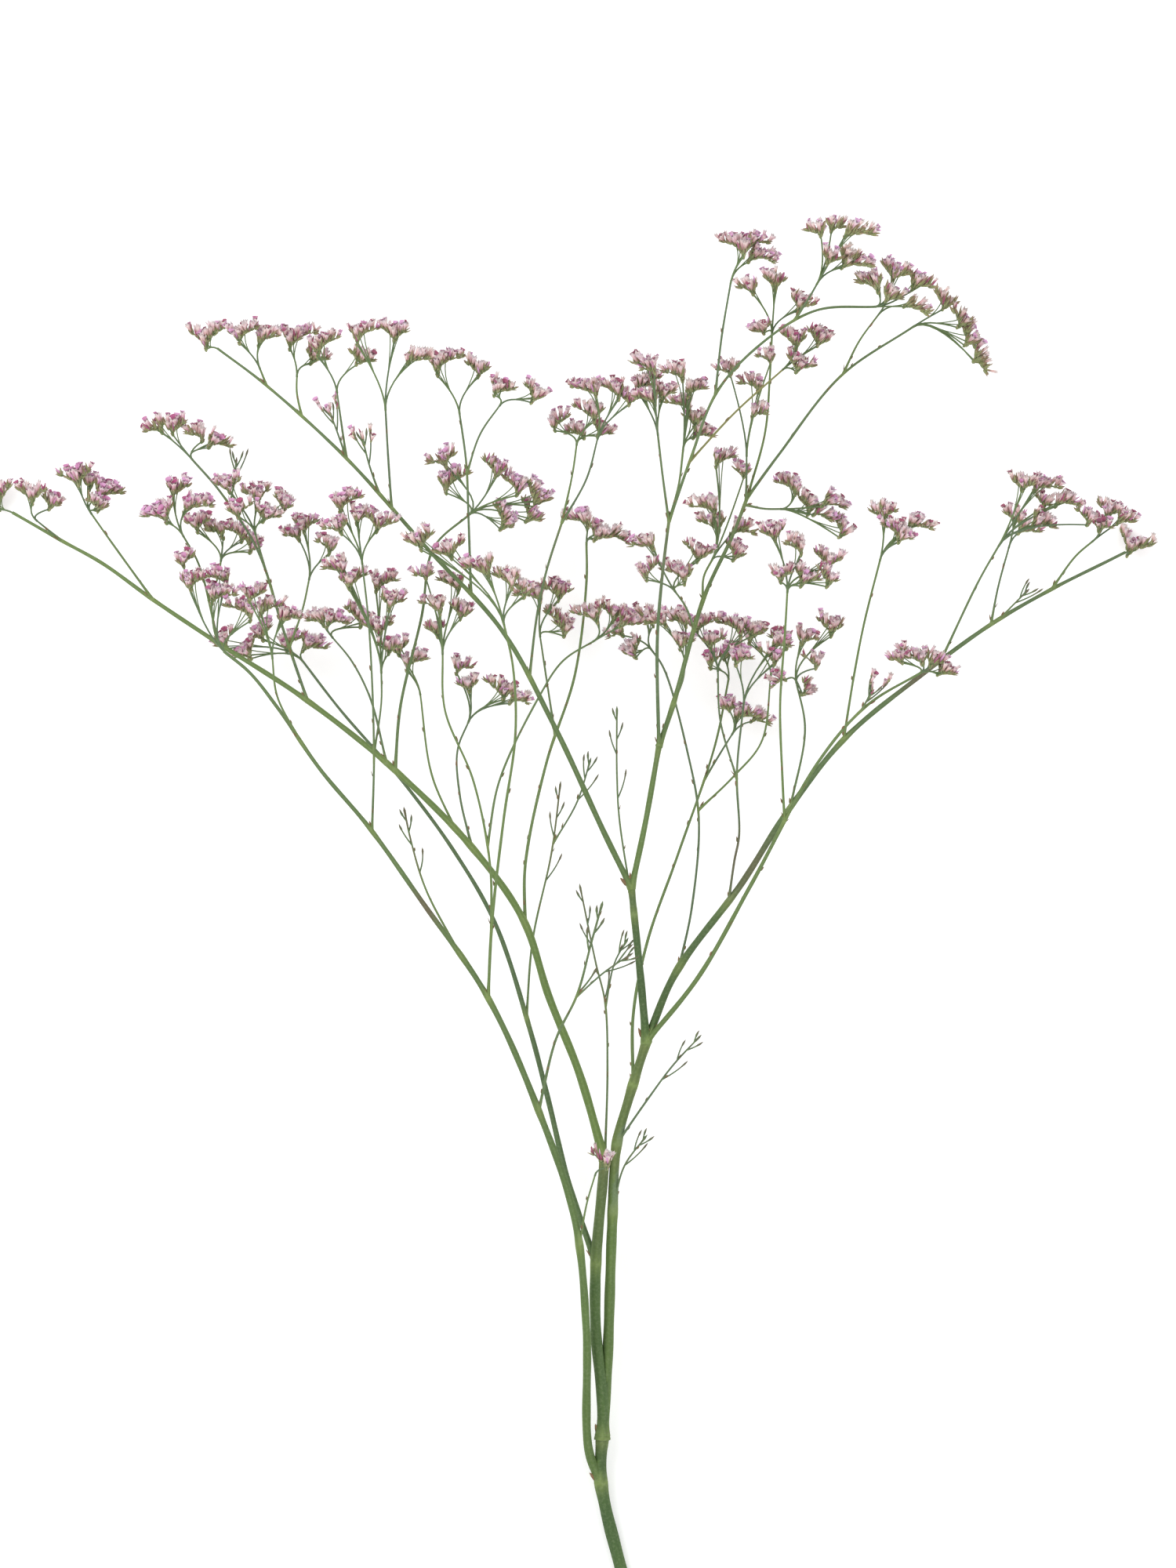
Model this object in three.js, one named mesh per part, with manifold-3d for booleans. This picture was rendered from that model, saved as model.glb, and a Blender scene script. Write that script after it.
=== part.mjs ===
// A cut flowering stem of statice (sea lavender), lying on a table.
// One scape forks again and again into arching branches.  Each branch tip carries a
// loose flower head: a few fine stalks, each with a flat-topped fan of florets.
// Units are millimetres, +Z is up, +Y runs from the cut end to the tips.
// The origin lies on the table under the middle of the whole spray.

import * as THREE from 'three';
import { mergeVertices } from 'three/addons/utils/BufferGeometryUtils.js';
import Module from 'manifold-3d';

const wasm = await Module();
wasm.setup();

// ---------------------------------------------------------------- driving dimensions
const SEAT_GAP = 0.3;            // clear gap between a green branch end and its flower head
const STALK_ROOT = 0.44;         // the fine stalks inside a flower head, where they part
const STALK_TIP = 0.38;          // and where each runs into its fan of florets
const SEGMENT_LENGTH = 36;       // length of one straight step along a green branch
const THICK_BRANCH = 2.05;       // branches above this radius get five sides, not four
const THIN_BRANCH = 1.05;        // branches below this radius get three sides
const STALK_NEST = 0.06;         // each further stalk starts thinner by this share
const KNOT_RADIUS = 0.8;         // the small knot in which the stalks of a head meet
const KNOT_TURN = 0.35;          // turned askew, so that no stalk runs along one of its edges
const STALK_STEP = 24;           // stalks longer than this are bent in the middle
const STALK_BEND = 0.28;         // a stalk keeps the branch's heading for this share of its way
const FAN_TURN = 0.45;           // a fan is turned at most this far about its stalk, in radians
const FAN_BOW = [-0.3, 0.06];    // from a shallow V to a low dome, as a share of the width
const FAN_SHIFT = 0.8;           // its foot stands off to one side by up to this share of its half width
const FAN_FOOT = 0.42;           // depth of the funnel of bracts, as a share of the width
const FAN_WAIST = 0.6;           // the bracts' rim is this share of the crown's width
const FAN_WAIST_HEIGHT = -1.6;   // and lies this far from the fan's middle
const FAN_CROWN_HEIGHT = 2.6;    // mean height of the floret tips over the middle
const FAN_FRILL = 0.9;           // every second corner of the crown is this much higher or lower
const FAN_HALF_DEPTH = 3.6;      // half the crown's depth, square to its width
const FAN_UNEVEN = [0.88, 1.12]; // how much the corners of the crown differ in reach
const SMALL_FAN = 15.5;          // fans narrower than this open straight from foot to crown
const AXIS_REACH = 0.1;          // corners of the cone nearer to its axis than this lie on the axis
const WIDE_FAN = 17.5;           // fans at least this wide get eight corners, not six
const UPWARD = [0, 0.9, 0.15];   // florets turn up towards the light by this much
// Every corner of a fused body lies on the first of these grids that keeps it closed.
const GRID_STEPS = [0.01, 0.012, 0.008, 0.015, 0.018, 0.022, 0.026, 0.03, 0.036, 0.042, 0.05];
const GRID_TIDY = 0.025;         // faces that the grid made finer than this are tidied away too
const FUSE_TIDY = 0.3;           // faces finer than this are tidied away after fusing
const SCALE_LENGTH = 5.5;        // the papery scale leaf that sits at a fork
const SCALE_RADIUS = 1.3;
const SCALE_FORK = 0.78;         // branches at least this thick at the root carry a scale
const SCALE_AHEAD = 4;           // distance of a scale from its branch's root
const SCALE_LEAN = 0.37;         // sideways share of the direction in which a scale points
const SCALE_SEAT = 0.75;         // a scale's axis lies at this share of the branch's radius
const TWIGLET_AHEAD = 0.95;      // a twiglet on a flowerless twig runs ahead by this share of its length
const TWIGLET_ASIDE = 0.34;      // and aside by this one
// Each twiglet: the share of the twig at which it leaves, its turn about the twig in radians
// and its length.
const TWIGLETS = [[0.58, 0.5, 14], [0.78, -2.6, 11]];

// ---------------------------------------------------------------- green branches
// Each row: name, radius at the root, radius at the tip, points from root to tip.
// The first point is then moved onto the middle of the branch that it grows from.
const BRANCHES = [
  ["trunk", 3.0, 2.8, [[30, -300, 2.85], [22, -270, 3.3], [16, -246, 4.6], [14, -233, 6],
    [15, -214, 9]]],
  ["middle", 2.7, 2.3, [[15, -217, 8.5], [15, -203, 11], [12, -170, 16], [12, -142, 21],
    [15, -106, 27], [16, -94, 29]]],
  ["right", 2.6, 2.1, [[15, -216, 8.5], [17, -183, 12], [19, -125, 22], [21, -90, 29], [26, -71, 33],
    [34, -45, 38]]],
  ["left", 2.1, 0.7, [[14, -236, 6], [9, -222, 10], [8, -170, 23], [3, -122, 34], [-13, -74, 46],
    [-34, -27, 58], [-62, 14, 69], [-84, 45, 74], [-105, 70, 76], [-123, 96, 74], [-135, 111, 70],
    [-146, 120, 66]]],
  ["arm_left", 2.0, 0.7, [[16, -97, 28], [5, -60, 36], [-8, -27, 43], [-19, 6, 48], [-41, 37, 53],
    [-74, 70, 56], [-112, 100, 51], [-151, 125, 41], [-178, 143, 32], [-199, 158, 23],
    [-217, 168, 16], [-238, 180, 9]]],
  ["under_left", 1.5, 0.55, [[12, -141, 20], [0, -106, 15], [-8, -73, 17], [-16, -42, 20],
    [-31, 4, 24], [-48, 34, 26], [-70, 64, 26], [-97, 95, 23], [-114, 117, 20]]],
  ["up", 1.9, 1.5, [[34, -46, 38], [31, -18, 47], [28, 11, 56], [27, 21, 58]]],
  ["up_left", 1.41, 0.55, [[27, 19, 58], [16, 42, 66], [-6, 89, 78], [-28, 129, 84], [-59, 163, 86],
    [-94, 202, 79], [-128, 233, 66], [-149, 249, 55]]],
  ["up_right", 1.41, 1.22, [[27, 19, 58], [33, 47, 65], [39, 81, 72]]],
  ["crown", 0.83, 0.67, [[39, 79, 72], [38, 124, 84], [40, 151, 91], [43, 176, 97]]],
  ["crown_arch", 0.67, 0.55, [[43, 174, 97], [52, 201, 102], [63, 229, 102], [81, 249, 97],
    [105, 264, 88], [131, 266, 78]]],
  ["crown_left", 0.56, 0.48, [[43, 174, 97], [40, 195, 105], [38, 212, 110]]],
  ["crown_mid", 0.56, 0.48, [[43, 174, 97], [47, 190, 94], [49, 206, 90]]],
  ["peak", 0.55, 0.45, [[63, 228, 102], [65, 252, 108], [69, 276, 110]]],
  ["peak_right", 0.55, 0.45, [[96, 259, 92], [102, 269, 94], [106, 276, 95]]],
  ["ochre", 0.52, 0.45, [[52, 199, 102], [71, 221, 88], [92, 240, 78]]],
  ["fork_right", 1.22, 0.73, [[39, 79, 72], [45, 98, 68], [58, 143, 60], [70, 169, 56], [77, 187, 54]]],
  ["fork_up", 0.56, 0.48, [[77, 185, 54], [84, 213, 52], [86, 236, 54], [87, 256, 56]]],
  ["fork_arch", 0.67, 0.52, [[77, 185, 54], [90, 204, 57], [116, 237, 56], [148, 259, 48]]],
  ["arch_rise", 0.5, 0.42, [[117, 238, 56], [124, 252, 62], [132, 263, 64]]],
  ["fork_thin", 0.52, 0.41, [[77, 183, 54], [76, 194, 64], [76, 204, 70]]],
  ["fork_side", 0.55, 0.45, [[76, 182, 55], [84, 181, 44], [92, 181, 38]]],
  ["fork_low", 0.55, 0.45, [[58, 141, 60], [58, 152, 50], [62, 160, 44]]],
  ["fork_back", 0.52, 0.41, [[53, 130, 62], [50, 139, 76], [45, 146, 82]]],
  ["fork_thread", 0.48, 0.41, [[45, 97, 68], [49, 108, 58], [50, 115, 52]]],
  ["arm_right", 1.8, 0.7, [[34, -46, 38], [46, -17, 41], [74, 21, 45], [93, 51, 47], [118, 83, 47],
    [152, 111, 42], [181, 132, 33], [207, 147, 23], [231, 159, 12], [239, 163, 9]]],
  ["arm_up_1", 0.56, 0.48, [[118, 82, 47], [122, 111, 58], [126, 132, 64], [133, 160, 68]]],
  ["arm_up_2", 0.58, 0.48, [[159, 116, 40], [175, 150, 50], [184, 166, 55]]],
  ["arm_up_3", 0.52, 0.41, [[181, 131, 33], [184, 148, 28], [189, 166, 24]]],
  ["arm_up_4", 0.55, 0.45, [[208, 147, 23], [217, 161, 30], [225, 168, 34]]],
  ["arm_dry", 0.42, 0.38, [[185, 134, 32], [191, 141, 38], [197, 147, 42]]],
  ["over_right", 1.22, 0.55, [[34, -46, 38], [56, -18, 53], [78, 21, 65], [107, 74, 76],
    [127, 97, 78], [150, 111, 76]]],
  ["over_up", 0.59, 0.48, [[92, 49, 71], [91, 68, 78], [90, 97, 86], [92, 128, 92], [93, 146, 94]]],
  ["over_bud", 0.55, 0.45, [[95, 53, 47], [101, 87, 56], [97, 108, 60]]],
  ["over_dry", 0.42, 0.38, [[125, 95, 78], [129, 103, 84]]],
  ["low_right", 0.56, 0.48, [[48, -14, 41], [53, 11, 34], [56, 49, 30], [51, 78, 32], [41, 113, 36],
    [35, 122, 37]]],
  ["low_right_2", 0.52, 0.41, [[56, 52, 30], [71, 67, 26], [83, 82, 24], [87, 111, 24]]],
  ["knee", 0.59, 0.45, [[67, 14, 44], [71, 31, 51], [73, 42, 53], [72, 68, 55], [75, 99, 56]]],
  ["knee_left", 0.48, 0.41, [[72, 66, 55], [65, 91, 46], [64, 113, 42]]],
  ["back_right", 0.8, 0.48, [[27, -64, 34], [28, -35, 27], [34, -4, 22], [47, 33, 18], [63, 80, 14],
    [69, 109, 13]]],
  ["back_bud", 0.5, 0.42, [[58, 66, 15], [66, 78, 19], [71, 86, 22]]],
  ["inner_left", 0.74, 0.55, [[-19, 4, 48], [-18, 30, 41], [-9, 73, 37], [3, 110, 36], [8, 150, 38],
    [8, 167, 40]]],
  ["inner_side", 0.52, 0.41, [[-6, 84, 37], [-9, 108, 28], [-12, 128, 24]]],
  ["inner_c2", 0.58, 0.41, [[-41, 36, 53], [-46, 59, 44], [-47, 78, 40], [-42, 91, 38]]],
  ["inner_c3", 0.55, 0.41, [[-49, 44, 54], [-58, 68, 48], [-63, 103, 42]]],
  ["inner_up", 0.74, 0.52, [[-74, 69, 56], [-71, 97, 62], [-62, 135, 64], [-57, 164, 60],
    [-41, 179, 57]]],
  ["inner_c5", 0.55, 0.41, [[-77, 72, 56], [-84, 100, 51], [-92, 116, 48], [-101, 127, 46]]],
  ["far_left", 0.67, 0.52, [[-112, 98, 51], [-121, 129, 49], [-132, 163, 45], [-148, 188, 40],
    [-161, 203, 35]]],
  ["far_fork", 0.52, 0.41, [[-128, 148, 47], [-130, 160, 56], [-133, 171, 61]]],
  ["far_dry", 0.42, 0.38, [[-144, 182, 41], [-142, 193, 46], [-141, 203, 48]]],
  ["end_up_1", 0.56, 0.45, [[-150, 123, 41], [-157, 157, 51], [-164, 170, 56]]],
  ["end_up_2", 0.58, 0.45, [[-178, 142, 32], [-197, 170, 36], [-204, 180, 37]]],
  ["end_up_3", 0.48, 0.41, [[-217, 167, 16], [-228, 177, 24]]],
  ["tall", 0.74, 0.52, [[-34, -28, 58], [-32, 6, 71], [-27, 49, 86], [-22, 85, 97], [-23, 113, 104],
    [-27, 132, 107]]],
  ["tall_left", 0.58, 0.45, [[-32, 2, 70], [-33, 30, 69], [-40, 65, 70], [-52, 95, 75],
    [-53, 120, 78]]],
  ["tall_right", 0.55, 0.45, [[-34, 38, 69], [-29, 65, 64], [-12, 101, 60], [-2, 116, 58],
    [12, 125, 57]]],
  ["left_up", 0.55, 0.41, [[-84, 43, 74], [-82, 78, 82], [-84, 130, 88], [-87, 158, 88]]],
  ["left_up_2", 0.48, 0.41, [[-82, 76, 82], [-79, 98, 76], [-79, 112, 74]]],
  ["left_side", 0.55, 0.41, [[-114, 82, 75], [-123, 101, 84], [-125, 118, 88]]],
  ["left_c6", 0.52, 0.41, [[-120, 122, 49], [-113, 138, 46], [-110, 152, 44]]],
  ["left_c7", 0.52, 0.41, [[-154, 142, 46], [-149, 153, 36], [-148, 160, 32]]],
  ["left_back", 0.55, 0.41, [[-46, -10, 63], [-60, 18, 54], [-67, 40, 40], [-70, 54, 36]]],
  ["small_1", 0.67, 0.48, [[-13, -76, 46], [-5, -45, 56], [4, -26, 62], [10, -4, 66], [15, 14, 68]]],
  ["small_1_side", 0.42, 0.38, [[4, -27, 62], [16, -16, 64], [28, -8, 66]]],
  ["small_2", 0.55, 0.38, [[17, -94, 28], [17, -58, 20], [16, -30, 17], [12, -13, 14], [5, 21, 12]]],
  ["small_2_side", 0.42, 0.38, [[16, -32, 17], [20, -13, 20], [26, -2, 22]]],
  ["small_3", 0.48, 0.38, [[19, -120, 23], [24, -100, 30], [34, -86, 36]]],
  ["small_4", 0.58, 0.38, [[22, -90, 29], [34, -71, 40], [45, -56, 48], [57, -43, 54]]],
  ["small_5", 0.55, 0.38, [[-18, -36, 21], [-15, -3, 18], [-7, 34, 15], [-3, 65, 13]]],
  ["small_5_side", 0.42, 0.38, [[-6, 38, 15], [4, 56, 18], [10, 75, 20]]],
  ["small_6", 0.48, 0.38, [[28, 8, 55], [22, 49, 46], [21, 68, 42], [21, 97, 40]]],
  ["small_7", 0.48, 0.38, [[6, -134, 31], [8, -116, 38], [12, -102, 42]]],
  ["v_up", 0.59, 0.52, [[-15, 110, 81], [-13, 135, 75], [-9, 154, 72], [-2, 176, 70]]],
  ["v_left", 0.52, 0.41, [[-2, 174, 70], [2, 195, 67], [4, 209, 65]]],
  ["v_right", 0.52, 0.41, [[-2, 174, 70], [8, 193, 77], [13, 211, 82]]],
  ["s_up", 0.59, 0.48, [[-41, 144, 85], [-42, 177, 79], [-43, 200, 75], [-46, 222, 72]]],
  ["s_right", 0.48, 0.41, [[-42, 196, 76], [-37, 212, 80], [-28, 225, 82]]],
  ["g_up_1", 0.56, 0.45, [[-75, 180, 84], [-76, 204, 90], [-77, 223, 94]]],
  ["g_up_2", 0.55, 0.41, [[-94, 201, 79], [-96, 217, 74], [-98, 231, 71]]],
  ["g_up_3", 0.52, 0.41, [[-113, 219, 72], [-115, 230, 66], [-115, 238, 63]]],
  ["g_up_4", 0.48, 0.41, [[-128, 232, 66], [-131, 241, 70]]],
  ["g_bud_1", 0.48, 0.4, [[-79, 188, 83], [-84, 199, 88], [-87, 211, 90]]],
  ["g_bud_2", 0.46, 0.38, [[-94, 202, 79], [-98, 214, 84], [-101, 222, 85]]],
];

// ---------------------------------------------------------------- flower heads
// Each row: the branch whose tip carries the head, and the middle and width of each of
// its fans.
const HEADS = [
  ["up_left", [[-153, 258, 52, 21]]],
  ["g_up_4", [[-138, 257, 74, 15], [-127, 255, 72, 15]]],
  ["g_up_3", [[-114, 257, 58, 20], [-106, 246, 54, 11]]],
  ["g_up_2", [[-103, 253, 68, 18], [-87, 246, 74, 12]]],
  ["g_up_1", [[-86, 256, 96, 15], [-73, 257, 93, 15], [-62, 246, 90, 14]]],
  ["s_up", [[-51, 245, 70, 18], [-38, 242, 66, 13]]],
  ["s_right", [[-26, 233, 84, 14], [-14, 231, 80, 13]]],
  ["v_left", [[-3, 220, 62, 12], [9, 224, 66, 14], [15, 216, 60, 12], [3, 214, 62, 9]]],
  ["v_right", [[7, 233, 86, 13], [18, 233, 83, 14], [26, 229, 84, 11]]],
  ["crown_left", [[32, 242, 112, 13], [34, 235, 108, 14], [33, 228, 110, 13], [41, 231, 106, 14]]],
  ["crown_mid", [[45, 239, 90, 12], [55, 232, 92, 13], [47, 226, 86, 12], [53, 220, 84, 12],
    [59, 214, 82, 14]]],
  ["peak", [[71, 292, 112, 14], [80, 294, 108, 12], [83, 287, 106, 14]]],
  ["peak_right", [[105, 299, 96, 9], [112, 287, 98, 10], [123, 286, 92, 17], [124, 299, 97, 15],
    [114, 300, 92, 7]]],
  ["crown_arch", [[128, 278, 80, 15], [140, 282, 76, 13], [151, 278, 72, 15], [139, 272, 78, 12],
    [149, 267, 74, 12]]],
  ["fork_up", [[76, 276, 60, 11], [88, 280, 56, 15], [100, 270, 60, 14], [82, 258, 62, 9]]],
  ["ochre", [[96, 254, 78, 14], [107, 255, 74, 13], [99, 244, 80, 15]]],
  ["fork_arch", [[161, 271, 46, 12], [168, 263, 44, 11], [172, 256, 42, 13], [175, 249, 40, 9],
    [177, 243, 38, 7]]],
  ["fork_thin", [[68, 241, 74, 10], [78, 235, 70, 12], [84, 246, 72, 8], [81, 222, 74, 8]]],
  ["arm_up_1", [[134, 181, 70, 13], [138, 174, 74, 13], [151, 175, 66, 13], [143, 170, 72, 11]]],
  ["arm_up_2", [[194, 193, 58, 11], [205, 192, 54, 14], [214, 185, 48, 14], [203, 185, 50, 9],
    [221, 179, 48, 9], [204, 176, 52, 15]]],
  ["arm_up_3", [[192, 180, 20, 11], [198, 174, 22, 12]]],
  ["arm_up_4", [[232, 182, 36, 13], [239, 178, 38, 12], [228, 175, 40, 10]]],
  ["arm_right", [[245, 169, 5.76, 21]]],
  ["over_right", [[162, 113, 74, 13], [156, 118, 78, 12], [148, 119, 80, 13], [140, 119, 82, 11]]],
  ["over_up", [[91, 153, 96, 10], [101, 153, 94, 15], [110, 153, 92, 12], [110, 161, 90, 14],
    [96, 165, 98, 11], [86, 172, 98, 14]]],
  ["over_bud", [[102, 127, 62, 11], [112, 133, 58, 15], [104, 117, 62, 8], [89, 108, 64, 8],
    [102, 105, 60, 8]]],
  ["knee", [[74, 119, 58, 12], [87, 120, 54, 12], [92, 125, 56, 12]]],
  ["low_right_2", [[80, 130, 24, 14], [91, 127, 22, 12]]],
  ["knee_left", [[58, 134, 40, 14], [69, 133, 38, 15], [62, 126, 42, 11], [79, 131, 36, 11]]],
  ["back_bud", [[77, 95, 16, 13], [84, 92, 14, 10], [69, 98, 17, 7]]],
  ["back_right", [[72, 122, 12, 13], [63, 119, 14, 12]]],
  ["low_right", [[31, 136, 38, 13], [27, 123, 36, 13], [20, 129, 38, 9]]],
  ["fork_thread", [[45, 136, 50, 14], [49, 126, 54, 12], [37, 134, 52, 11]]],
  ["inner_left", [[4, 178, 40, 13], [14, 172, 46, 14], [24, 170, 41, 12]]],
  ["fork_back", [[46, 155, 84, 15], [56, 164, 80, 15], [34, 156, 86, 12], [31, 167, 84, 13]]],
  ["tall_right", [[8, 138, 58, 15], [19, 139, 56, 14], [27, 134, 60, 13]]],
  ["tall", [[-26, 152, 110, 14], [-38, 157, 108, 16], [-50, 165, 106, 15], [-62, 169, 104, 15],
    [-18, 147, 108, 11]]],
  ["tall_left", [[-57, 141, 80, 14], [-50, 151, 73, 14], [-45, 139, 78, 13], [-56, 131, 76, 12],
    [-61, 154, 76, 8]]],
  ["inner_up", [[-31, 200, 58, 13], [-23, 193, 56, 12], [-12, 189, 52, 17], [-26, 178, 54, 14],
    [-14, 180, 50, 14], [-54, 203, 60, 13], [-49, 195, 58, 16]]],
  ["inner_c5", [[-107, 136, 43, 13], [-98, 134, 49, 12], [-89, 137, 41, 13]]],
  ["far_left", [[-176, 218, 30, 12], [-167, 218, 34, 11], [-159, 214, 36, 9], [-148, 210, 40, 12]]],
  ["end_up_1", [[-174, 181, 58, 17], [-166, 192, 56, 14], [-157, 184, 60, 16]]],
  ["end_up_2", [[-210, 197, 38, 15], [-203, 194, 34, 11], [-195, 191, 37, 17], [-200, 185, 40, 13]]],
  ["end_up_3", [[-229, 190, 28, 16], [-220, 185, 24, 10]]],
  ["arm_left", [[-246, 189, 5.27, 19]]],
  ["far_fork", [[-144, 193, 64, 13], [-133, 189, 62, 14], [-120, 185, 66, 13], [-139, 182, 68, 12],
    [-127, 180, 64, 13]]],
  ["left_c6", [[-111, 177, 44, 15], [-117, 171, 40, 9], [-103, 167, 42, 12]]],
  ["left_c7", [[-158, 177, 30, 13], [-151, 173, 28, 11], [-142, 173, 30, 12], [-135, 168, 30, 12]]],
  ["left", [[-159, 152, 64, 14], [-149, 153, 68, 11], [-146, 146, 66, 14], [-139, 140, 64, 15],
    [-163, 160, 62, 9]]],
  ["left_side", [[-133, 146, 90, 12], [-126, 140, 86, 12], [-117, 136, 90, 14]]],
  ["under_left", [[-119, 126, 18, 12], [-108, 125, 20, 14], [-131, 130, 24, 11], [-138, 122, 28, 13],
    [-147, 126, 30, 11]]],
  ["left_up", [[-93, 185, 88, 15], [-87, 179, 84, 13], [-79, 176, 86, 14], [-98, 174, 90, 12]]],
  ["left_up_2", [[-77, 151, 72, 14], [-74, 143, 76, 14], [-81, 132, 72, 15], [-99, 157, 80, 13],
    [-91, 152, 78, 13], [-76, 124, 70, 12]]],
  ["inner_c3", [[-65, 117, 42, 12], [-73, 124, 40, 13]]],
  ["inner_c2", [[-44, 115, 38, 10], [-43, 108, 40, 12], [-29, 107, 36, 15], [-20, 101, 34, 12]]],
  ["inner_side", [[-17, 147, 24, 14], [-5, 148, 26, 14], [-4, 135, 22, 15]]],
  ["fork_low", [[58, 184, 42, 14], [61, 177, 40, 14], [76, 174, 36, 14], [72, 165, 40, 14],
    [67, 204, 60, 14], [74, 198, 58, 9]]],
  ["fork_side", [[94, 193, 38, 13], [102, 186, 34, 14], [115, 185, 36, 15], [118, 175, 32, 12],
    [110, 179, 34, 10]]],
  ["small_7", [[15, -95, 44, 11]]],
];

// ---------------------------------------------------------------- small helpers
// A small seeded generator, so that every build draws the same numbers.
const RANDOM_FACTOR = 16807;
const RANDOM_RANGE = 2147483647;
const FIRST_SEED = 101;
const SEED_STEP = 37;

function seededRandom(seed) {
  let state = seed;
  return (low, high) => {
    state = (state * RANDOM_FACTOR) % RANDOM_RANGE;
    return low + (high - low) * (state / RANDOM_RANGE);
  };
}

function toSolid(geometry) {
  const bare = geometry.clone();
  bare.deleteAttribute('normal');
  bare.deleteAttribute('uv');
  const merged = mergeVertices(bare, 1e-4);
  return new wasm.Manifold(new wasm.Mesh({
    numProp: 3,
    vertProperties: new Float32Array(merged.attributes.position.array),
    triVerts: new Uint32Array(merged.index.array),
  }));
}

function toGeometry(solid) {
  const mesh = solid.getMesh();
  const geometry = new THREE.BufferGeometry();
  geometry.setAttribute('position', new THREE.BufferAttribute(mesh.vertProperties, 3));
  geometry.setIndex(new THREE.BufferAttribute(mesh.triVerts, 1));
  geometry.computeVertexNormals();
  return geometry;
}

function largestBody(solid) {
  const bodies = solid.decompose();
  return bodies.reduce((best, body) => (body.volume() > best.volume() ? body : best));
}

// Puts every corner on a fine grid and drops the faces that collapse there, so that
// no two corners lie closer together than a step of the grid.
function onGrid(solid, step) {
  const mesh = solid.getMesh();
  const snapped = mesh.vertProperties.map((value) => Math.round(value / step) * step);
  const corners = new Map();
  const first = [];
  for (let vertex = 0; vertex < mesh.numVert; vertex += 1) {
    const key = snapped.slice(vertex * 3, vertex * 3 + 3).join();
    if (!corners.has(key)) {
      corners.set(key, vertex);
    }
    first.push(corners.get(key));
  }
  const faces = [];
  const edges = new Set();
  for (let face = 0; face < mesh.triVerts.length; face += 3) {
    const [a, b, c] = [0, 1, 2].map((corner) => first[mesh.triVerts[face + corner]]);
    if (a !== b && b !== c && c !== a) {
      faces.push(a, b, c);
      edges.add(`${a}>${b}`).add(`${b}>${c}`).add(`${c}>${a}`);
    }
  }
  const body = new wasm.Mesh({
    numProp: 3,
    vertProperties: new Float32Array(snapped),
    triVerts: new Uint32Array(faces),
  });
  const paired = [...edges].every((edge) => edges.has(edge.split('>').reverse().join('>')));
  return { body, closed: paired && edges.size === faces.length };
}

// Joins solids into one body: hollows sealed by the joining are filled and loose
// scraps are dropped, because only the outermost body is kept.  Where one grid pinches
// faces together, the next one is tried.
function fuse(solids) {
  const joined = largestBody(wasm.Manifold.union(solids));
  const fit = (step) => {
    const rough = onGrid(joined.simplify(FUSE_TIDY + step), step);
    return rough.closed ? onGrid(new wasm.Manifold(rough.body).simplify(GRID_TIDY), step) : rough;
  };
  let fitted = fit(GRID_STEPS[0]);
  for (let order = 1; !fitted.closed && order < GRID_STEPS.length; order += 1) {
    fitted = fit(GRID_STEPS[order]);
  }
  return largestBody(new wasm.Manifold(fitted.body));
}

function point(values) {
  return new THREE.Vector3(values[0], values[1], values[2]);
}

// Bends a closed upright CylinderGeometry along a curve, so that height becomes length.
function bendAlong(geometry, curve, segments) {
  const frames = curve.computeFrenetFrames(segments, false);
  const position = geometry.attributes.position;
  for (let index = 0; index < position.count; index += 1) {
    const share = position.getY(index) + 0.5;
    const ring = Math.round(share * segments);
    const place = curve.getPointAt(share);
    place.addScaledVector(frames.normals[ring], position.getX(index));
    place.addScaledVector(frames.binormals[ring], position.getZ(index));
    position.setXYZ(index, place.x, place.y, place.z);
  }
  return geometry;
}

// The bent cylinder's caps may face inwards, because a curve's frame can be left-handed.
function outward(geometry) {
  const index = geometry.index.array;
  for (let first = 0; first < index.length; first += 3) {
    const swap = index[first + 1];
    index[first + 1] = index[first + 2];
    index[first + 2] = swap;
  }
  return geometry;
}

function tube(curve, rootRadius, tipRadius, sides, segments) {
  const cylinder = new THREE.CylinderGeometry(tipRadius, rootRadius, 1, sides, segments);
  const solid = toSolid(bendAlong(cylinder, curve, segments));
  return solid.volume() > 0 ? solid : toSolid(outward(cylinder));
}

// ---------------------------------------------------------------- the green branches
function branchCurve(row) {
  return new THREE.CatmullRomCurve3(row[3].map(point), false, 'centripetal');
}

function sidesFor(radius) {
  if (radius > THICK_BRANCH) {
    return 5;
  }
  return radius > THIN_BRANCH ? 4 : 3;
}

// A papery scale leaf clasps the root of each stouter branch and points along it.
function scaleLeaf(row, curve) {
  const length = curve.getLength();
  const share = Math.min(0.9, SCALE_AHEAD / length);
  const along = curve.getTangentAt(share);
  const leaf = new THREE.ConeGeometry(SCALE_RADIUS, SCALE_LENGTH, 3);
  const side = new THREE.Vector3(-along.y, along.x, 0.3).normalize();
  const lean = along.clone().addScaledVector(side, SCALE_LEAN).normalize();
  const turn = new THREE.Quaternion().setFromUnitVectors(new THREE.Vector3(0, 1, 0), lean);
  const place = curve.getPointAt(share).addScaledVector(side, row[1] * SCALE_SEAT);
  leaf.applyMatrix4(new THREE.Matrix4().compose(place, turn, new THREE.Vector3(1, 1, 1)));
  return toSolid(leaf);
}

const carriesHead = new Set(HEADS.map((row) => row[0]));
// These carry no head, because they only lead on to other branches or up to a head.
const LEADERS = ['trunk', 'middle', 'right', 'up', 'up_right', 'crown', 'fork_right', 'v_up', 'arch_rise'];

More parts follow.
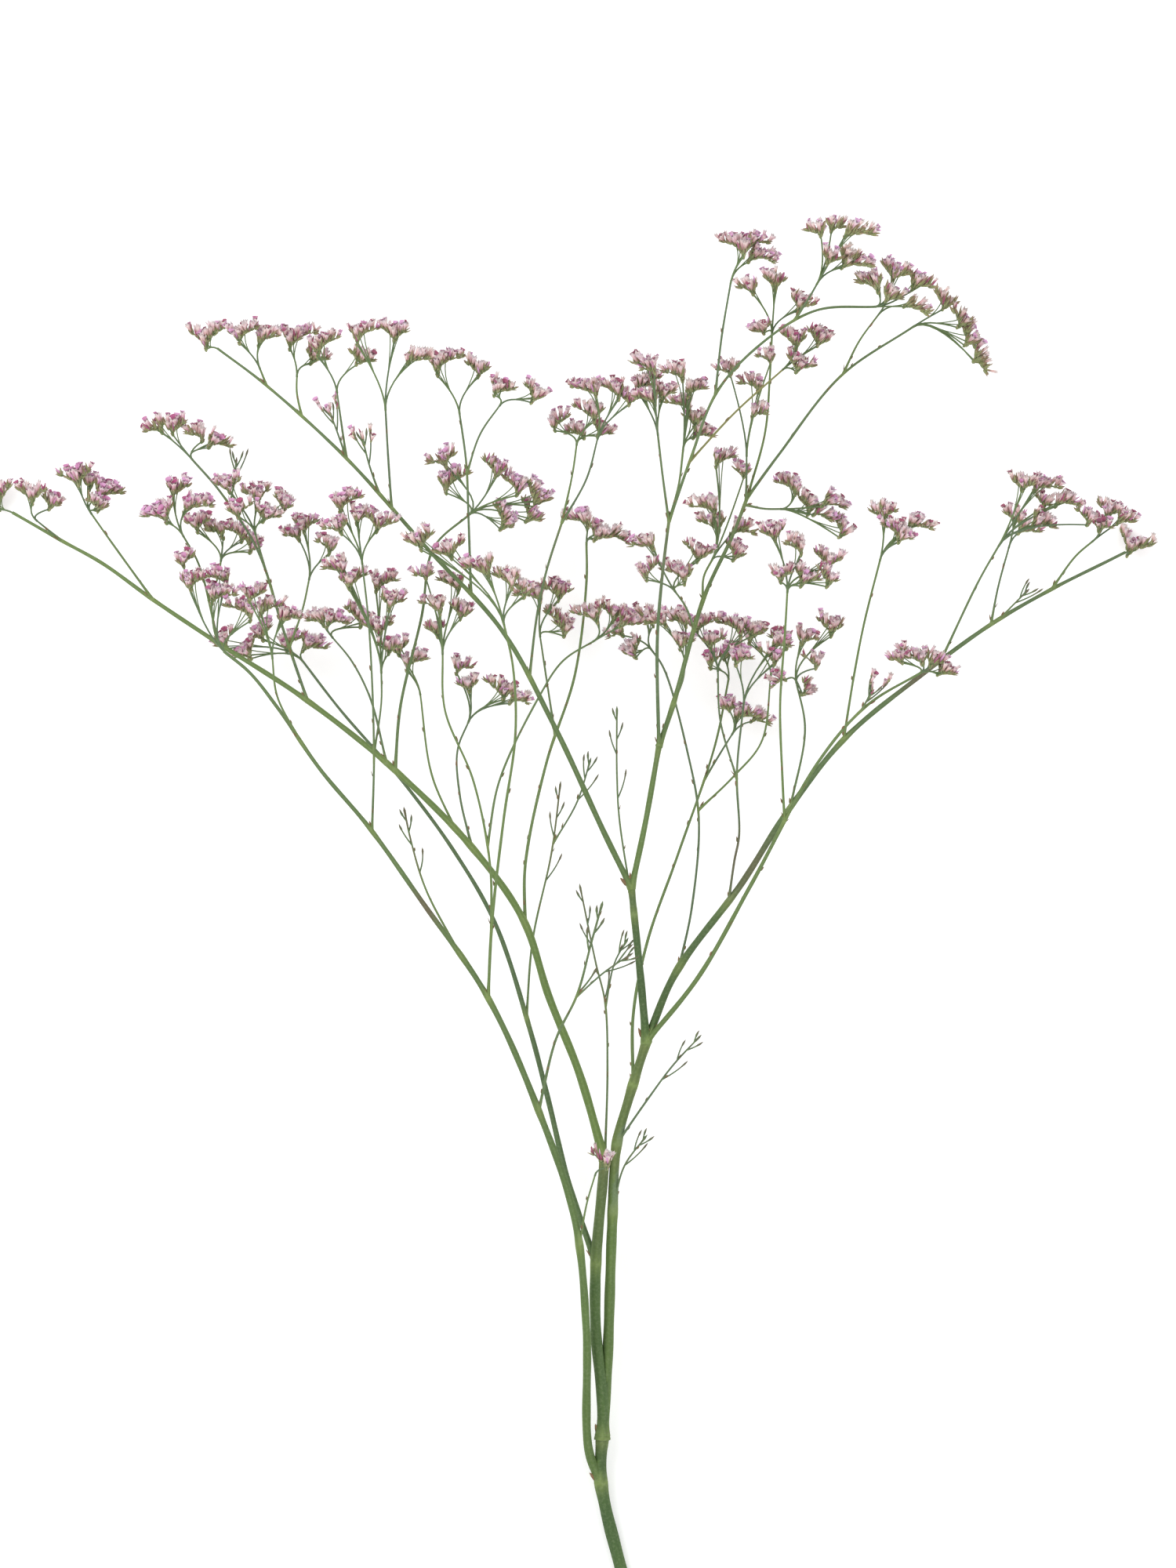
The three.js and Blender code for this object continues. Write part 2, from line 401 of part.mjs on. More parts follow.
// The nearest place on the straight steps of the branches built so far.
function nearestOn(steps, place) {
  const found = { distance: Infinity, at: place };
  for (const step of steps) {
    const at = step.closestPointToPoint(place, true, new THREE.Vector3());
    const distance = at.distanceTo(place);
    if (distance < found.distance) {
      found.distance = distance;
      found.at = at;
    }
  }
  return found.at;
}

// The pointed side threads of a flowerless twig, by turns to its left and right.
function twigletSolids(curve, radius, steps) {
  return TWIGLETS.map(([share, turn, length]) => {
    const start = nearestOn(steps, curve.getPointAt(share));
    const along = curve.getTangentAt(share);
    const level = new THREE.Vector3().crossVectors(along, new THREE.Vector3(0, 0, 1)).normalize();
    const side = level.applyAxisAngle(along, turn);
    const end = start.clone()
      .addScaledVector(along, TWIGLET_AHEAD * length)
      .addScaledVector(side, TWIGLET_ASIDE * length);
    return tube(new THREE.LineCurve3(start, end), radius, 0, 3, 1);
  });
}

function buildBranches() {
  const solids = [];
  const steps = [];
  for (const row of BRANCHES) {
    const [name, rootRadius, tipRadius] = row;
    const points = row[3].map(point);
    points[0] = nearestOn(steps, points[0]);
    if (carriesHead.has(name)) {
      const last = points.length - 1;
      points[last].addScaledVector(branchCurve(row).getTangentAt(1), -SEAT_GAP);
    }
    const curve = new THREE.CatmullRomCurve3(points, false, 'centripetal');
    const segments = Math.max(1, Math.round(curve.getLength() / SEGMENT_LENGTH));
    const places = curve.getSpacedPoints(segments);
    places.slice(1).forEach((place, order) => steps.push(new THREE.Line3(places[order], place)));
    solids.push(tube(curve, rootRadius, tipRadius, sidesFor(rootRadius), segments));
    if (rootRadius >= SCALE_FORK && name !== 'trunk') {
      solids.push(scaleLeaf(row, curve));
    }
    if (!carriesHead.has(name) && !LEADERS.includes(name)) {
      solids.push(...twigletSolids(curve, tipRadius, steps));
    }
  }
  return fuse(solids);
}

// ---------------------------------------------------------------- the flower heads
// How each corner of an upright cone becomes a corner of a fan: ring 0 is the foot
// where the stalk runs in, ring 1 the bracts' rim and ring 2 the frilled crown.
function fanCorner(fan, ring, spoke, isMiddle) {
  const half = fan.width / 2;
  const turn = (2 * Math.PI * spoke) / fan.corners;
  const reach = isMiddle ? 0 : fan.reaches[spoke];
  const frill = spoke % 2 === 0 ? FAN_FRILL : -FAN_FRILL;
  const rings = [
    { wide: 0, deep: 0, high: -fan.width * FAN_FOOT, aside: 1 },
    { wide: half * FAN_WAIST, deep: FAN_HALF_DEPTH * FAN_WAIST, high: FAN_WAIST_HEIGHT, aside: 0.4 },
    { wide: half, deep: FAN_HALF_DEPTH, high: FAN_CROWN_HEIGHT + (isMiddle ? 0 : frill), aside: 0 },
  ];
  const { wide, deep, high, aside } = rings[ring];
  const out = wide * reach * Math.cos(turn) + aside * fan.shift * half;
  const bow = ring === 2 ? fan.bow * fan.width * (0.5 - (out / half) ** 2) : 0;
  return fan.middle.clone()
    .addScaledVector(fan.across, out)
    .addScaledVector(fan.depth, deep * reach * Math.sin(turn))
    .addScaledVector(fan.growth, high + bow);
}

// One fan of florets: a funnel of bracts that opens into a flat, frilled crown.
function fanSolid(fan) {
  const steps = fan.width < SMALL_FAN ? 1 : 2;
  const body = new THREE.CylinderGeometry(1, 0, 1, fan.corners, steps);
  const position = body.attributes.position;
  for (let index = 0; index < position.count; index += 1) {
    const [x, y, z] = [position.getX(index), position.getY(index), position.getZ(index)];
    const ring = Math.round(2 * y + 1);
    const share = Math.atan2(z, x) / (2 * Math.PI);
    const spoke = (Math.round(share * fan.corners) + fan.corners) % fan.corners;
    const place = fanCorner(fan, ring, spoke, Math.hypot(x, z) < AXIS_REACH);
    position.setXYZ(index, place.x, place.y, place.z);
  }
  const solid = toSolid(body);
  return solid.volume() > 0 ? solid : toSolid(outward(body));
}

// The directions of a fan: growth points away from the root and up, across runs along
// the fan's width and depth is square to both.
function planFan([x, y, z, width], { turn, bow, shift }, root, random) {
  const middle = new THREE.Vector3(x, y, z);
  const reach = middle.clone().sub(root);
  const growth = reach.clone().normalize().add(point(UPWARD)).normalize();
  const level = new THREE.Vector3().crossVectors(growth, new THREE.Vector3(0, 0, 1)).normalize();
  const across = level.applyAxisAngle(growth, turn);
  const depth = new THREE.Vector3().crossVectors(across, growth);
  const corners = width < WIDE_FAN ? 6 : 8;
  const reaches = Array.from({ length: corners }, () => random(...FAN_UNEVEN));
  const foot = middle.clone()
    .addScaledVector(growth, -width * FAN_FOOT)
    .addScaledVector(across, (shift * width) / 2);
  const lean = { growth, across, depth, bow, shift };
  return { middle, foot, width, corners, reaches, reach: reach.length(), ...lean };
}

function stalkSolid(fan, root, heading, order) {
  const start = root.clone().addScaledVector(heading, KNOT_RADIUS);
  const bend = root.clone().addScaledVector(heading, fan.reach * STALK_BEND);
  const end = fan.foot.clone().addScaledVector(fan.growth, STALK_TIP * 2);
  const stalk = new THREE.QuadraticBezierCurve3(start, bend, end);
  const startRadius = STALK_ROOT * (1 - STALK_NEST * order);
  return tube(stalk, startRadius, STALK_TIP, 3, fan.reach > STALK_STEP ? 2 : 1);
}

function buildHead(owner, spikes, random) {
  const curve = branchCurve(BRANCHES.find((row) => row[0] === owner));
  const root = curve.getPointAt(1);
  const heading = curve.getTangentAt(1);
  const leans = spikes.map(() => ({
    turn: random(-FAN_TURN, FAN_TURN),
    bow: random(...FAN_BOW),
    shift: random(-FAN_SHIFT, FAN_SHIFT),
  }));
  const fans = spikes.map((spike, order) => planFan(spike, leans[order], root, random));
  const stalks = fans.map((fan, order) => stalkSolid(fan, root, heading, order));
  const knotMiddle = root.clone().addScaledVector(heading, KNOT_RADIUS);
  const knot = new THREE.OctahedronGeometry(KNOT_RADIUS).rotateX(KNOT_TURN).rotateZ(KNOT_TURN);
  knot.translate(...knotMiddle.toArray());
  return fuse([toSolid(knot), ...stalks, ...fans.map(fanSolid)]);
}

// ---------------------------------------------------------------- the scene graph
const stemGreen = new THREE.MeshStandardMaterial({ color: 0x6b8f52, roughness: 0.7, metalness: 0 });
const floretPink = new THREE.MeshStandardMaterial({ color: 0xd69ab8, roughness: 0.85, metalness: 0 });

function named(name, solid, material) {
  const mesh = new THREE.Mesh(toGeometry(solid), material.clone());
  mesh.name = name;
  return mesh;
}

const statice = new THREE.Group();
statice.add(named('stem', buildBranches(), stemGreen));
HEADS.forEach(([owner, spikes], order) => {
  const random = seededRandom(FIRST_SEED + order * SEED_STEP);
  statice.add(named(`flowers_${owner}`, buildHead(owner, spikes, random), floretPink));
});

export default statice;
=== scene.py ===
# %% [markdown]
# # A cut stem of statice, lying on a table
# Statice, or sea lavender, flowers on one leafless stalk, a scape, that forks again and
# again.  Each last twig ends in a small flat-topped head: a few one-sided spikes, green
# and brown bracts underneath and papery pink florets on top.  The solids of the stem and
# of its heads are already packed, in metres, so every piece below is made in their place.

import math

import bmesh
import bpy
from mathutils import Matrix, Quaternion, Vector
from mathutils.kdtree import KDTree


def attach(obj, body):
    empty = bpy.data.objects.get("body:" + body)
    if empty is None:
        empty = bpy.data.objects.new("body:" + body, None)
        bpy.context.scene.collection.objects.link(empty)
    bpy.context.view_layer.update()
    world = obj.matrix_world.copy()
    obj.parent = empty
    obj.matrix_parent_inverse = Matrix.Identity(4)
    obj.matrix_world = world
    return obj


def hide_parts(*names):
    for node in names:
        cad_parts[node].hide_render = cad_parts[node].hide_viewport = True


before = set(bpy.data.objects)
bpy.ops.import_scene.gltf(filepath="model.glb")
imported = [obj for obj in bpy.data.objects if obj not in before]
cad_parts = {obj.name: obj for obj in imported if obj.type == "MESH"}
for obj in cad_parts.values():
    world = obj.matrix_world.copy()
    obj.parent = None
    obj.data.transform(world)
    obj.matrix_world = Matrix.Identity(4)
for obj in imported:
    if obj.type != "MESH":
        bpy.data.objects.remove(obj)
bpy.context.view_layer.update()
MM = 0.001

# %% [markdown]
# ## The plan of the spray
# The branches are written as the maker of the solids wrote them: a name, the radius at
# the root and at the tip, and the points that the branch passes, all in millimetres.
# Repeating the same rows keeps every twig exactly on its solid.

# %% The rows of the branches
BRANCHES = [
    ["trunk", 3.0, 2.8, [[30, -300, 2.85], [22, -270, 3.3], [16, -246, 4.6], [14, -233, 6],
     [15, -214, 9]]],
    ["middle", 2.7, 2.3, [[15, -217, 8.5], [15, -203, 11], [12, -170, 16], [12, -142, 21],
     [15, -106, 27], [16, -94, 29]]],
    ["right", 2.6, 2.1, [[15, -216, 8.5], [17, -183, 12], [19, -125, 22], [21, -90, 29], [26, -71, 33],
     [34, -45, 38]]],
    ["left", 2.1, 0.7, [[14, -236, 6], [9, -222, 10], [8, -170, 23], [3, -122, 34], [-13, -74, 46],
     [-34, -27, 58], [-62, 14, 69], [-84, 45, 74], [-105, 70, 76], [-123, 96, 74], [-135, 111, 70],
     [-146, 120, 66]]],
    ["arm_left", 2.0, 0.7, [[16, -97, 28], [5, -60, 36], [-8, -27, 43], [-19, 6, 48], [-41, 37, 53],
     [-74, 70, 56], [-112, 100, 51], [-151, 125, 41], [-178, 143, 32], [-199, 158, 23],
     [-217, 168, 16], [-238, 180, 9]]],
    ["under_left", 1.5, 0.55, [[12, -141, 20], [0, -106, 15], [-8, -73, 17], [-16, -42, 20],
     [-31, 4, 24], [-48, 34, 26], [-70, 64, 26], [-97, 95, 23], [-114, 117, 20]]],
    ["up", 1.9, 1.5, [[34, -46, 38], [31, -18, 47], [28, 11, 56], [27, 21, 58]]],
    ["up_left", 1.41, 0.55, [[27, 19, 58], [16, 42, 66], [-6, 89, 78], [-28, 129, 84], [-59, 163, 86],
     [-94, 202, 79], [-128, 233, 66], [-149, 249, 55]]],
    ["up_right", 1.41, 1.22, [[27, 19, 58], [33, 47, 65], [39, 81, 72]]],
    ["crown", 0.83, 0.67, [[39, 79, 72], [38, 124, 84], [40, 151, 91], [43, 176, 97]]],
    ["crown_arch", 0.67, 0.55, [[43, 174, 97], [52, 201, 102], [63, 229, 102], [81, 249, 97],
     [105, 264, 88], [131, 266, 78]]],
    ["crown_left", 0.56, 0.48, [[43, 174, 97], [40, 195, 105], [38, 212, 110]]],
    ["crown_mid", 0.56, 0.48, [[43, 174, 97], [47, 190, 94], [49, 206, 90]]],
    ["peak", 0.55, 0.45, [[63, 228, 102], [65, 252, 108], [69, 276, 110]]],
    ["peak_right", 0.55, 0.45, [[96, 259, 92], [102, 269, 94], [106, 276, 95]]],
    ["ochre", 0.52, 0.45, [[52, 199, 102], [71, 221, 88], [92, 240, 78]]],
    ["fork_right", 1.22, 0.73, [[39, 79, 72], [45, 98, 68], [58, 143, 60], [70, 169, 56], [77, 187, 54]]],
    ["fork_up", 0.56, 0.48, [[77, 185, 54], [84, 213, 52], [86, 236, 54], [87, 256, 56]]],
    ["fork_arch", 0.67, 0.52, [[77, 185, 54], [90, 204, 57], [116, 237, 56], [148, 259, 48]]],
    ["arch_rise", 0.5, 0.42, [[117, 238, 56], [124, 252, 62], [132, 263, 64]]],
    ["fork_thin", 0.52, 0.41, [[77, 183, 54], [76, 194, 64], [76, 204, 70]]],
    ["fork_side", 0.55, 0.45, [[76, 182, 55], [84, 181, 44], [92, 181, 38]]],
    ["fork_low", 0.55, 0.45, [[58, 141, 60], [58, 152, 50], [62, 160, 44]]],
    ["fork_back", 0.52, 0.41, [[53, 130, 62], [50, 139, 76], [45, 146, 82]]],
    ["fork_thread", 0.48, 0.41, [[45, 97, 68], [49, 108, 58], [50, 115, 52]]],
    ["arm_right", 1.8, 0.7, [[34, -46, 38], [46, -17, 41], [74, 21, 45], [93, 51, 47], [118, 83, 47],
     [152, 111, 42], [181, 132, 33], [207, 147, 23], [231, 159, 12], [239, 163, 9]]],
    ["arm_up_1", 0.56, 0.48, [[118, 82, 47], [122, 111, 58], [126, 132, 64], [133, 160, 68]]],
    ["arm_up_2", 0.58, 0.48, [[159, 116, 40], [175, 150, 50], [184, 166, 55]]],
    ["arm_up_3", 0.52, 0.41, [[181, 131, 33], [184, 148, 28], [189, 166, 24]]],
    ["arm_up_4", 0.55, 0.45, [[208, 147, 23], [217, 161, 30], [225, 168, 34]]],
    ["arm_dry", 0.42, 0.38, [[185, 134, 32], [191, 141, 38], [197, 147, 42]]],
    ["over_right", 1.22, 0.55, [[34, -46, 38], [56, -18, 53], [78, 21, 65], [107, 74, 76],
     [127, 97, 78], [150, 111, 76]]],
    ["over_up", 0.59, 0.48, [[92, 49, 71], [91, 68, 78], [90, 97, 86], [92, 128, 92], [93, 146, 94]]],
    ["over_bud", 0.55, 0.45, [[95, 53, 47], [101, 87, 56], [97, 108, 60]]],
    ["over_dry", 0.42, 0.38, [[125, 95, 78], [129, 103, 84]]],
    ["low_right", 0.56, 0.48, [[48, -14, 41], [53, 11, 34], [56, 49, 30], [51, 78, 32], [41, 113, 36],
     [35, 122, 37]]],
    ["low_right_2", 0.52, 0.41, [[56, 52, 30], [71, 67, 26], [83, 82, 24], [87, 111, 24]]],
    ["knee", 0.59, 0.45, [[67, 14, 44], [71, 31, 51], [73, 42, 53], [72, 68, 55], [75, 99, 56]]],
    ["knee_left", 0.48, 0.41, [[72, 66, 55], [65, 91, 46], [64, 113, 42]]],
    ["back_right", 0.8, 0.48, [[27, -64, 34], [28, -35, 27], [34, -4, 22], [47, 33, 18], [63, 80, 14],
     [69, 109, 13]]],
    ["back_bud", 0.5, 0.42, [[58, 66, 15], [66, 78, 19], [71, 86, 22]]],
    ["inner_left", 0.74, 0.55, [[-19, 4, 48], [-18, 30, 41], [-9, 73, 37], [3, 110, 36], [8, 150, 38],
     [8, 167, 40]]],
    ["inner_side", 0.52, 0.41, [[-6, 84, 37], [-9, 108, 28], [-12, 128, 24]]],
    ["inner_c2", 0.58, 0.41, [[-41, 36, 53], [-46, 59, 44], [-47, 78, 40], [-42, 91, 38]]],
    ["inner_c3", 0.55, 0.41, [[-49, 44, 54], [-58, 68, 48], [-63, 103, 42]]],
    ["inner_up", 0.74, 0.52, [[-74, 69, 56], [-71, 97, 62], [-62, 135, 64], [-57, 164, 60],
     [-41, 179, 57]]],
    ["inner_c5", 0.55, 0.41, [[-77, 72, 56], [-84, 100, 51], [-92, 116, 48], [-101, 127, 46]]],
    ["far_left", 0.67, 0.52, [[-112, 98, 51], [-121, 129, 49], [-132, 163, 45], [-148, 188, 40],
     [-161, 203, 35]]],
    ["far_fork", 0.52, 0.41, [[-128, 148, 47], [-130, 160, 56], [-133, 171, 61]]],
    ["far_dry", 0.42, 0.38, [[-144, 182, 41], [-142, 193, 46], [-141, 203, 48]]],
    ["end_up_1", 0.56, 0.45, [[-150, 123, 41], [-157, 157, 51], [-164, 170, 56]]],
    ["end_up_2", 0.58, 0.45, [[-178, 142, 32], [-197, 170, 36], [-204, 180, 37]]],
    ["end_up_3", 0.48, 0.41, [[-217, 167, 16], [-228, 177, 24]]],
    ["tall", 0.74, 0.52, [[-34, -28, 58], [-32, 6, 71], [-27, 49, 86], [-22, 85, 97], [-23, 113, 104],
     [-27, 132, 107]]],
    ["tall_left", 0.58, 0.45, [[-32, 2, 70], [-33, 30, 69], [-40, 65, 70], [-52, 95, 75],
     [-53, 120, 78]]],
    ["tall_right", 0.55, 0.45, [[-34, 38, 69], [-29, 65, 64], [-12, 101, 60], [-2, 116, 58],
     [12, 125, 57]]],
    ["left_up", 0.55, 0.41, [[-84, 43, 74], [-82, 78, 82], [-84, 130, 88], [-87, 158, 88]]],
    ["left_up_2", 0.48, 0.41, [[-82, 76, 82], [-79, 98, 76], [-79, 112, 74]]],
    ["left_side", 0.55, 0.41, [[-114, 82, 75], [-123, 101, 84], [-125, 118, 88]]],
    ["left_c6", 0.52, 0.41, [[-120, 122, 49], [-113, 138, 46], [-110, 152, 44]]],
    ["left_c7", 0.52, 0.41, [[-154, 142, 46], [-149, 153, 36], [-148, 160, 32]]],
    ["left_back", 0.55, 0.41, [[-46, -10, 63], [-60, 18, 54], [-67, 40, 40], [-70, 54, 36]]],
    ["small_1", 0.67, 0.48, [[-13, -76, 46], [-5, -45, 56], [4, -26, 62], [10, -4, 66], [15, 14, 68]]],
    ["small_1_side", 0.42, 0.38, [[4, -27, 62], [16, -16, 64], [28, -8, 66]]],
    ["small_2", 0.55, 0.38, [[17, -94, 28], [17, -58, 20], [16, -30, 17], [12, -13, 14], [5, 21, 12]]],
    ["small_2_side", 0.42, 0.38, [[16, -32, 17], [20, -13, 20], [26, -2, 22]]],
    ["small_3", 0.48, 0.38, [[19, -120, 23], [24, -100, 30], [34, -86, 36]]],
    ["small_4", 0.58, 0.38, [[22, -90, 29], [34, -71, 40], [45, -56, 48], [57, -43, 54]]],
    ["small_5", 0.55, 0.38, [[-18, -36, 21], [-15, -3, 18], [-7, 34, 15], [-3, 65, 13]]],
    ["small_5_side", 0.42, 0.38, [[-6, 38, 15], [4, 56, 18], [10, 75, 20]]],
    ["small_6", 0.48, 0.38, [[28, 8, 55], [22, 49, 46], [21, 68, 42], [21, 97, 40]]],
    ["small_7", 0.48, 0.38, [[6, -134, 31], [8, -116, 38], [12, -102, 42]]],
    ["v_up", 0.59, 0.52, [[-15, 110, 81], [-13, 135, 75], [-9, 154, 72], [-2, 176, 70]]],
    ["v_left", 0.52, 0.41, [[-2, 174, 70], [2, 195, 67], [4, 209, 65]]],
    ["v_right", 0.52, 0.41, [[-2, 174, 70], [8, 193, 77], [13, 211, 82]]],
    ["s_up", 0.59, 0.48, [[-41, 144, 85], [-42, 177, 79], [-43, 200, 75], [-46, 222, 72]]],
    ["s_right", 0.48, 0.41, [[-42, 196, 76], [-37, 212, 80], [-28, 225, 82]]],
    ["g_up_1", 0.56, 0.45, [[-75, 180, 84], [-76, 204, 90], [-77, 223, 94]]],
    ["g_up_2", 0.55, 0.41, [[-94, 201, 79], [-96, 217, 74], [-98, 231, 71]]],
    ["g_up_3", 0.52, 0.41, [[-113, 219, 72], [-115, 230, 66], [-115, 238, 63]]],
    ["g_up_4", 0.48, 0.41, [[-128, 232, 66], [-131, 241, 70]]],
    ["g_bud_1", 0.48, 0.4, [[-79, 188, 83], [-84, 199, 88], [-87, 211, 90]]],
    ["g_bud_2", 0.46, 0.38, [[-94, 202, 79], [-98, 214, 84], [-101, 222, 85]]],
]
print("branches:", len(BRANCHES))

# %% [markdown]
# A head belongs to the branch that carries it.  Each fan of florets is written as the
# place of its middle and its width, again in millimetres.

# %% The rows of the flower heads
HEADS = [
    ["up_left", [[-153, 258, 52, 21]]],
    ["g_up_4", [[-138, 257, 74, 15], [-127, 255, 72, 15]]],
    ["g_up_3", [[-114, 257, 58, 20], [-106, 246, 54, 11]]],
    ["g_up_2", [[-103, 253, 68, 18], [-87, 246, 74, 12]]],
    ["g_up_1", [[-86, 256, 96, 15], [-73, 257, 93, 15], [-62, 246, 90, 14]]],
    ["s_up", [[-51, 245, 70, 18], [-38, 242, 66, 13]]],
    ["s_right", [[-26, 233, 84, 14], [-14, 231, 80, 13]]],
    ["v_left", [[-3, 220, 62, 12], [9, 224, 66, 14], [15, 216, 60, 12], [3, 214, 62, 9]]],
    ["v_right", [[7, 233, 86, 13], [18, 233, 83, 14], [26, 229, 84, 11]]],
    ["crown_left", [[32, 242, 112, 13], [34, 235, 108, 14], [33, 228, 110, 13], [41, 231, 106, 14]]],
    ["crown_mid", [[45, 239, 90, 12], [55, 232, 92, 13], [47, 226, 86, 12], [53, 220, 84, 12],
    [59, 214, 82, 14]]],
    ["peak", [[71, 292, 112, 14], [80, 294, 108, 12], [83, 287, 106, 14]]],
    ["peak_right", [[105, 299, 96, 9], [112, 287, 98, 10], [123, 286, 92, 17], [124, 299, 97, 15],
    [114, 300, 92, 7]]],
    ["crown_arch", [[128, 278, 80, 15], [140, 282, 76, 13], [151, 278, 72, 15], [139, 272, 78, 12],
    [149, 267, 74, 12]]],
    ["fork_up", [[76, 276, 60, 11], [88, 280, 56, 15], [100, 270, 60, 14], [82, 258, 62, 9]]],
    ["ochre", [[96, 254, 78, 14], [107, 255, 74, 13], [99, 244, 80, 15]]],
    ["fork_arch", [[161, 271, 46, 12], [168, 263, 44, 11], [172, 256, 42, 13], [175, 249, 40, 9],
    [177, 243, 38, 7]]],
    ["fork_thin", [[68, 241, 74, 10], [78, 235, 70, 12], [84, 246, 72, 8], [81, 222, 74, 8]]],
    ["arm_up_1", [[134, 181, 70, 13], [138, 174, 74, 13], [151, 175, 66, 13], [143, 170, 72, 11]]],
    ["arm_up_2", [[194, 193, 58, 11], [205, 192, 54, 14], [214, 185, 48, 14], [203, 185, 50, 9],
    [221, 179, 48, 9], [204, 176, 52, 15]]],
    ["arm_up_3", [[192, 180, 20, 11], [198, 174, 22, 12]]],
    ["arm_up_4", [[232, 182, 36, 13], [239, 178, 38, 12], [228, 175, 40, 10]]],
    ["arm_right", [[245, 169, 5.76, 21]]],
    ["over_right", [[162, 113, 74, 13], [156, 118, 78, 12], [148, 119, 80, 13], [140, 119, 82, 11]]],
    ["over_up", [[91, 153, 96, 10], [101, 153, 94, 15], [110, 153, 92, 12], [110, 161, 90, 14],
    [96, 165, 98, 11], [86, 172, 98, 14]]],
    ["over_bud", [[102, 127, 62, 11], [112, 133, 58, 15], [104, 117, 62, 8], [89, 108, 64, 8],
    [102, 105, 60, 8]]],
    ["knee", [[74, 119, 58, 12], [87, 120, 54, 12], [92, 125, 56, 12]]],
    ["low_right_2", [[80, 130, 24, 14], [91, 127, 22, 12]]],
    ["knee_left", [[58, 134, 40, 14], [69, 133, 38, 15], [62, 126, 42, 11], [79, 131, 36, 11]]],
    ["back_bud", [[77, 95, 16, 13], [84, 92, 14, 10], [69, 98, 17, 7]]],
    ["back_right", [[72, 122, 12, 13], [63, 119, 14, 12]]],
    ["low_right", [[31, 136, 38, 13], [27, 123, 36, 13], [20, 129, 38, 9]]],
    ["fork_thread", [[45, 136, 50, 14], [49, 126, 54, 12], [37, 134, 52, 11]]],
    ["inner_left", [[4, 178, 40, 13], [14, 172, 46, 14], [24, 170, 41, 12]]],
    ["fork_back", [[46, 155, 84, 15], [56, 164, 80, 15], [34, 156, 86, 12], [31, 167, 84, 13]]],
    ["tall_right", [[8, 138, 58, 15], [19, 139, 56, 14], [27, 134, 60, 13]]],
    ["tall", [[-26, 152, 110, 14], [-38, 157, 108, 16], [-50, 165, 106, 15], [-62, 169, 104, 15],
    [-18, 147, 108, 11]]],
    ["tall_left", [[-57, 141, 80, 14], [-50, 151, 73, 14], [-45, 139, 78, 13], [-56, 131, 76, 12],
    [-61, 154, 76, 8]]],
    ["inner_up", [[-31, 200, 58, 13], [-23, 193, 56, 12], [-12, 189, 52, 17], [-26, 178, 54, 14],
    [-14, 180, 50, 14], [-54, 203, 60, 13], [-49, 195, 58, 16]]],
    ["inner_c5", [[-107, 136, 43, 13], [-98, 134, 49, 12], [-89, 137, 41, 13]]],
    ["far_left", [[-176, 218, 30, 12], [-167, 218, 34, 11], [-159, 214, 36, 9], [-148, 210, 40, 12]]],
    ["end_up_1", [[-174, 181, 58, 17], [-166, 192, 56, 14], [-157, 184, 60, 16]]],
    ["end_up_2", [[-210, 197, 38, 15], [-203, 194, 34, 11], [-195, 191, 37, 17], [-200, 185, 40, 13]]],
    ["end_up_3", [[-229, 190, 28, 16], [-220, 185, 24, 10]]],
    ["arm_left", [[-246, 189, 5.27, 19]]],
    ["far_fork", [[-144, 193, 64, 13], [-133, 189, 62, 14], [-120, 185, 66, 13], [-139, 182, 68, 12],
    [-127, 180, 64, 13]]],
    ["left_c6", [[-111, 177, 44, 15], [-117, 171, 40, 9], [-103, 167, 42, 12]]],
    ["left_c7", [[-158, 177, 30, 13], [-151, 173, 28, 11], [-142, 173, 30, 12], [-135, 168, 30, 12]]],
    ["left", [[-159, 152, 64, 14], [-149, 153, 68, 11], [-146, 146, 66, 14], [-139, 140, 64, 15],
    [-163, 160, 62, 9]]],
    ["left_side", [[-133, 146, 90, 12], [-126, 140, 86, 12], [-117, 136, 90, 14]]],
    ["under_left", [[-119, 126, 18, 12], [-108, 125, 20, 14], [-131, 130, 24, 11], [-138, 122, 28, 13],
    [-147, 126, 30, 11]]],
    ["left_up", [[-93, 185, 88, 15], [-87, 179, 84, 13], [-79, 176, 86, 14], [-98, 174, 90, 12]]],
    ["left_up_2", [[-77, 151, 72, 14], [-74, 143, 76, 14], [-81, 132, 72, 15], [-99, 157, 80, 13],
    [-91, 152, 78, 13], [-76, 124, 70, 12]]],
    ["inner_c3", [[-65, 117, 42, 12], [-73, 124, 40, 13]]],
    ["inner_c2", [[-44, 115, 38, 10], [-43, 108, 40, 12], [-29, 107, 36, 15], [-20, 101, 34, 12]]],
    ["inner_side", [[-17, 147, 24, 14], [-5, 148, 26, 14], [-4, 135, 22, 15]]],
    ["fork_low", [[58, 184, 42, 14], [61, 177, 40, 14], [76, 174, 36, 14], [72, 165, 40, 14],
    [67, 204, 60, 14], [74, 198, 58, 9]]],
    ["fork_side", [[94, 193, 38, 13], [102, 186, 34, 14], [115, 185, 36, 15], [118, 175, 32, 12],
    [110, 179, 34, 10]]],
    ["small_7", [[15, -95, 44, 11]]],
]
print("heads:", len(HEADS), "with", sum(len(row[1]) for row in HEADS), "fans")

# %% [markdown]
# ## Smooth lines through the points
# Every twig is swept along a line of short straight steps.  Even steps give even rings
# on the finished twig, so a line is first measured and then cut again by its length.

